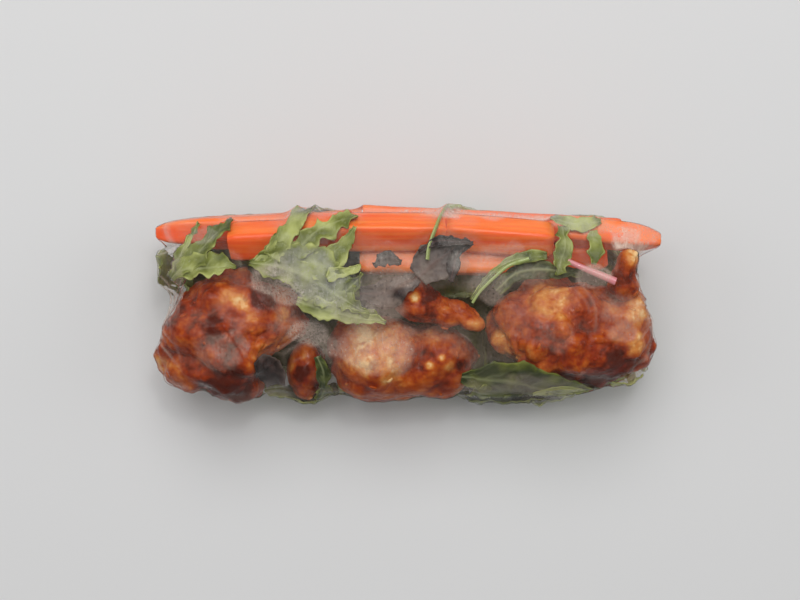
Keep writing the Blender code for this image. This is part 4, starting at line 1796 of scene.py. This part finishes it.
    def build_core(self) -> bpy.types.Object:
        """Returns the pressed core of the heap, a crumpled mass of leaf."""
        g = Shape("pressed_salad")
        level, inset, crumple = g.input("Level", "Int"), g.input("Inset"), g.input("Crumple")
        material = g.input("Material", "Material")
        body = g.add("GeometryNodeSubdivisionSurface", {}, {"Mesh": g.geometry, "Level": level})
        place = g.add("GeometryNodeInputPosition")
        normal = g.add("GeometryNodeInputNormal")
        wrinkle = abs(g.noise(place, 140.0, 2.0, 5.0))
        # Painted shade: the core is darker where its wrinkles press it in and paler where they stand out.
        body = g.stored(body, "tone", (wrinkle * 1.1 + 0.12).clamped())
        body = g.stored(body, "vein", (1.0 - wrinkle * 9.0).clamped() * 0.6)
        body = g.moved(body, g.vectors("SCALE", normal, (wrinkle - 0.7) * crumple - inset))
        g.finish(body, material)
        values = {
            "Level": 2,
            "Inset": self.core_inset,
            "Crumple": self.core_crumple,
            "Material": self.green.material(),
        }
        core = g.apply("salad_core", merged_copy("salad_leaves"), values)
        co = places_of(core.data)
        # It swells out low on its front, between the middle piece of chicken and the right end.
        x, y, z = (co / MM).T
        along = smooth(12.0, 24.0, x) * (1 - smooth(38.0, 50.0, x))
        co[:, 1] -= self.front_bulge * (1 - smooth(9.0, 18.0, z)) * along * smooth(8.0, 16.0, -y)
        co[:, 2] = np.maximum(co[:, 2], self.core_gap)
        core.data.vertices.foreach_set("co", co.ravel())
        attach(core, "root")
        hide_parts("salad_leaves")
        log.info("salad core: %d faces", len(core.data.polygons))
        return core

    def stem_shape(self) -> Shape:
        """Returns the tree that sweeps a stem along its path."""
        g = Shape("swept_stem")
        thickness, flatness = g.input("Thickness"), g.input("Flatness")
        first, last = g.input("Start Share"), g.input("End Share")
        material = g.input("Material", "Material")
        path = g.add("GeometryNodeMeshToCurve", {}, {"Mesh": g.geometry})
        along = g.add("GeometryNodeSplineParameter", output="Factor")
        share = first + (last - first) * along
        circle = {"Resolution": self.section_points, "Radius": thickness * 0.5}
        section = g.add("GeometryNodeCurvePrimitiveCircle", {}, circle)
        squash = g.add("ShaderNodeCombineXYZ", {}, {"X": 1.0, "Y": flatness, "Z": 1.0})
        section = g.add("GeometryNodeTransform", {}, {"Geometry": section, "Scale": squash})
        body = g.add(
            "GeometryNodeCurveToMesh", {},
            {"Curve": path, "Profile Curve": section, "Scale": share, "Fill Caps": True},
        )
        g.finish(body, material)
        return g

    def build_leaves(self, wrapping: Wrapping) -> list[bpy.types.Object]:
        """Lays the leaves and stems over the fillings.

        Args:
            wrapping: The surface they are laid against.

        Returns:
            The finished pieces.
        """
        core_material = bpy.data.objects["salad_core"].data.materials[0]
        made = [
            joined("green_leaves", [leaf.mesh(wrapping) for leaf in self.greens], core_material),
            joined("purple_leaves", [leaf.mesh(wrapping) for leaf in self.purples], self.purple.material()),
        ]
        shape = self.stem_shape()
        for name, stems, finish in (
            ("green_stem", self.green_stems, self.green_stem),
            ("pink_stem", self.pink_stems, self.pink_stem),
        ):
            material = finish.material()
            for number, stem in enumerate(stems, 1):
                path = through(stem.path, stem.points) * MM
                lift = np.full(len(path), stem.thickness * stem.flatness * 0.5 * MM + stem.stand_off * MM)
                places = wrapping.laid(stem.side, path, lift, stem.sink)
                line = bpy.data.meshes.new(name)
                line.from_pydata(places.tolist(), [(i, i + 1) for i in range(len(places) - 1)], [])
                values = {
                    "Thickness": stem.thickness * MM,
                    "Flatness": stem.flatness,
                    "Start Share": stem.start_share,
                    "End Share": stem.end_share,
                    "Material": material,
                }
                made.append(shape.apply(f"{name}_{number}", line, values))
        for piece in made:
            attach(piece, "root")
        log.info("leaves: %d blades, %d stems", len(self.greens) + len(self.purples), len(made) - 2)
        return made


# ---------------------------------------------------------------------------------------------
# The skin
# ---------------------------------------------------------------------------------------------


@dataclass(frozen=True)
class Patch:
    """A place on top, in millimetres, where the paper is clear (near 0) or milky.

    Its wet is the share by which it clears where the paper touches what is under it.
    """

    x: float
    y: float
    long: float
    wide: float
    haze: float
    wet: float = 0.5


@dataclass(frozen=True)
class Crease:
    """A fine crease on top of the paper, in millimetres: doubled where its haze is above 0,
    pressed clear where it is below."""

    path: tuple[Spot, ...]
    width: float
    haze: float
    rise: float = 0.12

    def share(self, surface: np.ndarray) -> np.ndarray:
        """How much of the crease there is at each place, from 0 to 1.

        Args:
            surface: The film's places, in metres.

        Returns:
            The share, as rings by points.
        """
        line = through(self.path, 2 + 12 * len(self.path)) * MM
        share = np.zeros(surface.shape[:2])
        low, high = line.min(axis=0) - 3 * self.width * MM, line.max(axis=0) + 3 * self.width * MM
        near = np.all((surface[..., :2] > low) & (surface[..., :2] < high), axis=-1)
        spots = surface[near][:, :2]
        if len(spots):
            away = np.linalg.norm(spots[:, None] - line[None], axis=2)
            along = away.argmin(axis=1) / (len(line) - 1)
            taper = smooth(0.0, 0.2, along) * smooth(0.0, 0.2, 1 - along)
            share[near] = np.exp(-((away.min(axis=1) / (self.width * MM)) ** 2)) * taper
        return share


@dataclass(frozen=True)
class Stretch:
    """One stretching of the film.

    Attributes:
        rings: How many rings of places the film has along the roll.
        points: How many places each ring has.
        spread: How far about each place the fillings are looked for.
        passes: How many times each place moves towards its neighbours.
    """

    rings: int
    points: int
    spread: float
    passes: int


@dataclass
class PaperSkin:
    """The rice paper: a film stretched over the fillings, clear where it clings to them."""

    film: RicePaperFilm = RicePaperFilm()
    first_step: Stretch = Stretch(166, 144, 0.6 * MM, 500)
    steps: tuple[Stretch, ...] = (
        Stretch(83, 72, 0.6 * MM, 700),
        Stretch(166, 144, 0.0, 300),
        Stretch(330, 288, 0.25 * MM, 160),
    )
    last_passes: int = 24
    pleat_count: int = 17
    lap_middle: float = math.radians(-147.0)
    lap_width: float = 0.035
    stain_span: Spot = (3.0 * MM, 15 * MM)
    stain_search: float = 16 * MM
    stand_off: float = 0.10 * MM
    cling: float = 3.0 * MM
    clear: float = 0.010
    milky: float = 0.09
    bloom: float = 0.08
    haze_span: Spot = (0.003, 0.72)
    patches: tuple[Patch, ...] = (
        # Wet and clear.
        Patch(-42.0, 18.5, 8.0, 8.0, 0.01),
        Patch(-58.0, 4.0, 10.0, 7.0, 0.01),
        Patch(-44.0, 0.0, 7.0, 4.5, 0.02),
        Patch(-67.0, -12.0, 4.0, 9.0, 0.02),
        Patch(-50.0, -21.0, 10.0, 6.0, 0.02),
        Patch(-28.5, -19.0, 6.0, 9.0, 0.01),
        Patch(-4.0, -23.0, 16.0, 5.0, 0.01),
        Patch(11.0, -16.0, 8.0, 7.0, 0.02),
        Patch(10.0, 0.0, 13.0, 5.0, 0.02),
        Patch(-2.0, 21.0, 12.0, 3.2, 0.03),
        Patch(27.0, 20.5, 15.0, 3.6, 0.03),
        Patch(48.0, -16.0, 18.0, 7.0, 0.02),
        Patch(64.0, -8.0, 6.0, 9.0, 0.05),
        Patch(60.0, 10.0, 4.0, 8.0, 0.03),
        Patch(-56.0, 13.0, 9.0, 8.0, 0.03),
        Patch(42.0, 14.0, 5.0, 8.0, 0.05),
        Patch(-16.5, 9.5, 4.5, 2.6, 0.05),
        Patch(-16.0, 4.2, 3.4, 2.6, 0.02),
        # Milky.
        Patch(-56.0, 19.6, 4.0, 2.4, 0.20),
        Patch(-36.5, 7.5, 6.0, 4.5, 0.44, 0.4),
        Patch(-22.5, 3.0, 6.5, 4.5, 0.34, 0.3),
        Patch(-14.0, -2.8, 7.0, 2.8, 0.32, 0.3),
        Patch(-27.0, 9.0, 11.0, 7.5, 0.29, 0.75),
        Patch(-10.0, 4.0, 7.0, 4.5, 0.20),
        Patch(-34.5, -4.5, 5.5, 4.5, 0.15, 0.1),
        Patch(-27.5, -8.4, 6.4, 4.0, 0.40, 0.1),
        Patch(-51.5, -13.0, 7.5, 5.4, 0.19, 0.3),
        Patch(-47.4, -11.4, 4.6, 5.0, 0.22, 0.3),
        Patch(-52.0, -5.4, 5.0, 2.8, 0.01),
        Patch(-38.0, -3.6, 3.4, 2.6, 0.02),
        Patch(-66.0, -5.0, 3.0, 3.4, 0.04),
        Patch(-32.5, 3.4, 4.6, 3.4, 0.42, 0.0),
        Patch(-36.5, -18.5, 3.4, 5.0, 0.01, 0.0),
        Patch(-57.0, -5.0, 3.0, 4.0, 0.10),
        Patch(-10.5, -12.0, 12.0, 7.8, 0.31, 0.1),
        Patch(-5.0, -1.5, 6.0, 4.0, 0.27),
        Patch(-5.0, 8.0, 7.0, 3.6, 0.26),
        Patch(-5.0, 12.6, 9.0, 2.6, 0.20, 0.2),
        Patch(24.0, 13.6, 11.0, 3.6, 0.20, 0.4),
        Patch(14.5, 12.0, 4.0, 3.4, 0.26, 0.1),
        Patch(7.0, 10.5, 6.0, 5.5, 0.11),
        Patch(21.5, 6.0, 6.5, 5.0, 0.27),
        Patch(33.0, 8.6, 6.0, 2.8, 0.16),
        Patch(10.0, -8.0, 9.0, 2.8, 0.15),
        Patch(-1.0, -7.4, 5.0, 2.6, 0.22, 0.1),
        Patch(14.5, -12.6, 4.0, 3.4, 0.14, 0.1),
        # The band along the roll's back edge: paper seen edge-on there, and partly a painted sheen.
        Patch(-8.0, 27.4, 18.0, 2.2, 0.30),
        Patch(26.0, 26.4, 30.0, 2.8, 0.54),
        Patch(-44.0, 25.4, 20.0, 1.6, 0.26),
        Patch(33.0, -5.0, 8.0, 6.0, 0.10, 0.3),
        Patch(40.0, -8.5, 6.0, 4.6, 0.14),
        Patch(40.0, 1.5, 8.0, 5.0, 0.05),
        Patch(58.0, -1.5, 7.0, 5.0, 0.19, 0.1),
        Patch(58.0, -7.5, 5.2, 2.8, 0.24, 0.0),
        Patch(63.0, 19.5, 8.0, 4.6, 0.62),
        Patch(52.0, 22.0, 7.0, 3.4, 0.30),
        Patch(45.0, 22.5, 5.0, 3.0, 0.26, 0.2),
        Patch(50.5, 8.4, 4.6, 2.8, 0.34, 0.0),
        Patch(-64.0, 10.0, 3.0, 5.0, 0.22),
        Patch(30.0, -23.6, 18.0, 5.4, 0.18, 0.1),
        Patch(22.5, -18.8, 6.0, 3.4, 0.05, 0.1),
    )
    creases: tuple[Crease, ...] = (
        # Pressed clear across the left piece.
        Crease(((-50.5, -4.5), (-47.5, -9.0), (-44.4, -14.2), (-42.0, -18.5)), 0.45, -0.8),
        Crease(((-46.4, -10.0), (-42.8, -13.2), (-40.2, -17.0)), 0.3, -0.6),
        Crease(((-36.6, -12.2), (-32.4, -10.0), (-28.6, -6.8)), 0.3, -0.9),
        Crease(((-36.0, -13.8), (-32.0, -11.4), (-28.4, -8.8)), 0.3, -0.9),
        Crease(((-17.0, -7.8), (-15.4, -11.8), (-14.2, -15.6)), 0.3, -0.5),
        Crease(((-9.6, -6.4), (-8.4, -12.0), (-6.6, -18.0)), 0.3, -0.4),
        # Fine doubled lines.
        Crease(((-36.4, -13.0), (-32.2, -10.8), (-28.4, -7.8)), 0.3, 0.5),
        Crease(((-34.6, -14.8), (-31.0, -12.4), (-27.6, -10.4)), 0.3, 0.5),
        Crease(((-32.2, -17.2), (-29.4, -15.8), (-25.8, -14.2)), 0.3, 0.45),
        Crease(((14.4, -8.2), (16.0, -9.4), (17.8, -11.0)), 0.3, 0.6),
        Crease(((46.5, 6.5), (50.0, 1.8), (51.1, -2.9), (50.7, -8.9)), 0.4, 0.45),
        Crease(((44.4, 5.4), (48.4, 1.0), (49.6, -3.4)), 0.35, 0.3),
        Crease(((58.4, 16.0), (56.6, 18.8), (55.4, 21.4)), 0.5, 0.7),
        Crease(((59.8, 17.0), (59.6, 19.6), (58.8, 22.0)), 0.45, 0.7),
        Crease(((56.4, 8.4), (56.8, 11.6), (58.2, 15.2), (61.2, 17.6)), 0.5, 0.4),
        Crease(((64.2, 17.8), (65.4, 14.6), (64.8, 10.6)), 0.5, 0.5),
        Crease(((62.4, 17.2), (63.6, 19.4), (64.0, 21.6)), 0.45, 0.6),
        Crease(((56.6, 13.0), (57.4, 16.4), (60.8, 17.6)), 0.5, 0.6),
        Crease(((-58.8, 18.6), (-61.4, 14.6), (-64.8, 8.6)), 0.6, 0.55),
        Crease(((-62.6, 18.4), (-64.2, 14.0), (-65.8, 10.0)), 0.5, 0.55),
        # The paper's lower edge along the front: doubled paper, and partly a painted highlight along the
        # edge.
        Crease(((-26.0, -23.8), (-20.0, -24.6), (-14.0, -26.2), (-8.0, -27.2)), 0.5, 0.5, 0.3),
        Crease(((5.4, -26.2), (12.0, -24.8), (20.0, -24.6), (31.6, -26.4), (44.0, -26.4)), 0.4, 0.5, 0.3),
        Crease(((-69.2, -18.0), (-65.0, -21.4), (-59.0, -23.4)), 0.5, 0.7, 0.3),
    )

    def stretch(
        self, tree: BVHTree, step: Stretch, coarser: np.ndarray | None = None
    ) -> tuple[PaperFrame, np.ndarray, np.ndarray]:
        """Stretches the film once.

        Args:
            tree: What it is stretched over.
            step: How finely and how long.
            coarser: The heights of a coarser film to begin from.

        Returns:
            The frame, the least heights the film may have, and its stretched heights.
        """
        frame = PaperFrame(step.rings, step.points)
        least = frame.outermost(tree, step.spread) + self.stand_off
        start = np.maximum(least, 0) if coarser is None else frame.resampled(coarser)
        return frame, least, frame.stretched(least, start, step.passes)

    def wrapping(self, fillings: Sequence[bpy.types.Object]) -> Wrapping:
        """Stretches a first, coarse film, for the leaves to be laid against.

        Args:
            fillings: What it is stretched over.

        Returns:
            The surface.
        """
        tree = search_tree(fillings)
        frame, _least, heights = self.stretch(tree, self.first_step)
        mesh = grid_mesh("first_film", frame.surface(heights), {}, closed=True)
        skin = BVHTree.FromPolygons(
            [v.co for v in mesh.vertices], [tuple(p.vertices) for p in mesh.polygons]
        )
        bpy.data.meshes.remove(mesh)
        return Wrapping(skin, tree)

    def build(self, fillings: Sequence[bpy.types.Object]) -> bpy.types.Object:
        """Stretches the film over everything.

        Args:
            fillings: What it is stretched over.

        Returns:
            The skin.
        """
        tree = search_tree(fillings)
        heights = None
        for step in self.steps:
            frame, least, heights = self.stretch(tree, step, heights)
            log.info("film %d x %d stretched", frame.rings, frame.points)
        gap = np.maximum(heights - np.minimum(least, frame.lowest()), 0)
        ends = smooth(55 * MM, 66 * MM, np.abs(frame.places[..., 0]))
        clung = least + gap * gap / (gap + self.cling * (1 + 2 * ends))
        clung = frame.stretched(least, np.minimum(clung, heights), self.last_passes)
        taut = frame.surface(heights)
        haze = self.haze_of(frame, taut, gap)
        fold_and_edge_highlight = self.folds_and_edge_highlights(frame, taut)
        surface = frame.surface(clung) + frame.ways * (self.relief(frame, taut) * MM)[..., None]
        surface[..., 2] = np.maximum(surface[..., 2], 0.0)
        attributes = {"haze": haze, "fold_and_edge_highlight": fold_and_edge_highlight, "stain": self.stain(surface, fillings)}
        mesh = grid_mesh("paper_skin", surface, attributes, closed=True)
        close_ends(mesh, fanned=True)
        mesh.shade_smooth()
        mesh.materials.append(self.film.material())
        skin = linked("paper_skin", mesh)
        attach(skin, "root")
        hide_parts("rice_paper")
        log.info("skin: %d faces", len(skin.data.polygons))
        return skin

    def stain(self, surface: np.ndarray, fillings: Sequence[bpy.types.Object]) -> np.ndarray:
        """How much glaze has rubbed off on the film, by its distance from the chicken.

        Args:
            surface: The film's places.
            fillings: What is under it.

        Returns:
            The stain at each place, from 0 to 1.
        """
        chicken = search_tree([piece for piece in fillings if piece.name.startswith("chicken")])
        reach = self.stain_search
        away = [chicken.find_nearest(Vector(place), reach)[3] for place in surface.reshape(-1, 3)]
        away = np.array([reach if value is None else value for value in away]).reshape(surface.shape[:2])
        return 1 - smooth(*self.stain_span, away)

    def haze_of(self, frame: PaperFrame, taut: np.ndarray, gap: np.ndarray) -> np.ndarray:
        """How milky the film is at each point.

        Args:
            frame: Its frame.
            taut: Its places as it was stretched.
            gap: How far it stands off what it covers.

        Returns:
            The haze, from 0 to 1.
        """
        bloom = self.bloom * smooth(-0.05, 0.28, layered_noise(taut, 13 * MM, 3, 35))
        stood_off = 0.5 * smooth(0.4 * MM, 1.8 * MM, gap) + 0.5 * smooth(1.2 * MM, 6.0 * MM, gap)
        haze = self.clear + bloom + (self.milky - self.clear - bloom) * stood_off
        top = smooth(-0.05, 0.3, frame.ways[..., 2])
        wobble = layered_noise(taut, 6 * MM, 3, 31)
        touching = 1 - smooth(0.04 * MM, 0.40 * MM, gap)
        x, y = taut[..., 0], taut[..., 1]
        for patch in self.patches:
            reach = np.hypot((x - patch.x * MM) / (patch.long * MM), (y - patch.y * MM) / (patch.wide * MM))
            share = top * (1 - smooth(0.72, 1.05, reach + wobble * 0.5))
            wanted = patch.haze * (1 - patch.wet * touching)
            haze = haze + (wanted - haze) * share * 0.9
        haze *= 1 + 0.25 * layered_noise(taut, 5 * MM, 3, 37)
        for crease in self.creases:
            if crease.haze < 0:
                haze = haze * (1 + crease.haze * top * crease.share(taut))
        return np.clip(haze, *self.haze_span)

    def folds_and_edge_highlights(self, frame: PaperFrame, taut: np.ndarray) -> np.ndarray:
        """Where the film is doubled or creased, and where thin lines along its lapped and lower edges are
        painted highlight.

        Args:
            frame: Its frame.
            taut: Its places as it was stretched.

        Returns:
            The fold at each place, from 0 to 1.
        """
        x = taut[..., 0] / MM
        ends = smooth(60.0, 68.0, np.abs(x))
        # The lap line is a painted highlight along the paper's outer edge.
        lap = np.exp(-(((self.angle(taut) - self.lap_angle(x)) / self.lap_width) ** 2))
        fold_and_edge_highlight = self.pleats(taut, 10) * ends * 0.9 + lap * 0.6
        for crease in self.creases:
            if crease.haze > 0:
                fold_and_edge_highlight = fold_and_edge_highlight + crease.haze * smooth(0.0, 0.3, frame.ways[..., 2]) * crease.share(taut)
        return np.clip(fold_and_edge_highlight, 0, 1)

    @staticmethod
    def angle(taut: np.ndarray) -> np.ndarray:
        """The angle of each place about the roll's own axis."""
        return np.arctan2(taut[..., 2] / MM - ROLL_MIDDLE, taut[..., 1] / MM)

    def pleats(self, taut: np.ndarray, power: int) -> np.ndarray:
        """The pleats around the roll, from 0 to 1, narrower for a higher power."""
        waves = np.sin(self.angle(taut) * self.pleat_count + 2.0 * lattice_noise(taut / (9 * MM), 41))
        return np.clip(waves, 0, 1) ** power

    def lap_angle(self, x: np.ndarray) -> np.ndarray:
        """The angle about the roll at which the paper's outer edge lies, low on its front."""
        return self.lap_middle + 0.05 * np.sin(x / 13.0) + 0.03 * np.sin(x / 5.1)

    def relief(self, frame: PaperFrame, taut: np.ndarray) -> np.ndarray:
        """The film's own pleats, lap, wrinkles and creases.

        Args:
            frame: Its frame.
            taut: Its places as it was stretched.

        Returns:
            How far each place moves out along its way, in millimetres.
        """
        x = taut[..., 0] / MM
        ends = smooth(58.0, 69.0, np.abs(x))
        past = self.lap_angle(x) - self.angle(taut)
        lap = smooth(-0.02, 0.03, past) * smooth(-0.9, -0.3, -past)
        slant = taut @ np.array([[0.62], [-0.55], [0.3]])
        streaks = np.concatenate([slant * 4.0, taut[..., 1:] * 0.7], axis=-1)
        rise = self.pleats(taut, 6) * ends * 0.45 + lap * 0.25 + 0.05 * layered_noise(
            streaks, 4 * MM, 2, 47
        )
        for crease in self.creases:
            rise = rise + crease.rise * smooth(0.0, 0.3, frame.ways[..., 2]) * crease.share(taut)
        return rise


# ---------------------------------------------------------------------------------------------
# The studio
# ---------------------------------------------------------------------------------------------


@dataclass
class Studio:
    """A pale floor, soft light from behind and above, and a camera straight over the roll."""

    lens: float = 85.0
    distance: float = 0.547
    look_at: Spot = (-2.0 * MM, 1.4 * MM)
    floor: PaleFloor = PaleFloor()
    floor_half: float = 3.0
    ambient: float = 0.33

    def build(self) -> None:
        """Adds the floor, the lights, the world and the camera."""
        mesh = bpy.data.meshes.new("floor")
        half = self.floor_half
        mesh.from_pydata(
            [(-half, -half, 0), (half, -half, 0), (half, half, 0), (-half, half, 0)], [], [(0, 1, 2, 3)]
        )
        mesh.materials.append(self.floor.material())
        linked("floor", mesh)
        self._area("key", (-0.05, 0.48, 0.85), 0.8, 5.6)
        self._area("glint", (0.12, 0.34, 0.90), 0.10, 0.6)
        self._area("left", (-0.90, 0.15, 0.60), 0.6, 1.2)
        self._area("right", (0.90, 0.15, 0.60), 0.6, 1.2)
        world = bpy.data.worlds.new("studio")
        world.use_nodes = True
        background = world.node_tree.nodes["Background"]
        background.inputs["Color"].default_value = (1.0, 1.0, 1.0, 1.0)
        background.inputs["Strength"].default_value = self.ambient
        bpy.context.scene.world = world
        camera = linked("camera", bpy.data.cameras.new("camera"))
        camera.data.lens = self.lens
        camera.data.clip_start = 0.01
        camera.location = (*self.look_at, self.distance)
        bpy.context.scene.camera = camera
        bpy.context.scene.view_settings.view_transform = "Standard"
        log.info("studio: floor, 4 lights, camera")

    @staticmethod
    def _area(name: str, place: Place, size: float, power: float) -> None:
        """Adds a square soft light that faces the roll.

        Args:
            name: Its name.
            place: Where it is.
            size: The length of its side.
            power: Its power, in watts.
        """
        light = bpy.data.lights.new(name, "AREA")
        light.size = size
        light.energy = power
        made = linked(name, light)
        made.location = place
        made.rotation_euler = (Vector((0, 0, 0.02)) - Vector(place)).to_track_quat("-Z", "Y").to_euler()


def main() -> None:
    """Builds the roll's looks in order, from the fillings out to the skin."""
    logging.basicConfig(level=logging.INFO, format="%(message)s")
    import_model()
    fillings = CarrotBatons().build() + ChickenPieces().build()
    salad = SaladLeaves()
    fillings.append(salad.build_core())
    skin = PaperSkin()
    fillings += salad.build_leaves(skin.wrapping(fillings))
    skin.build(fillings)
    Studio().build()


if __name__ == "__main__":
    main()
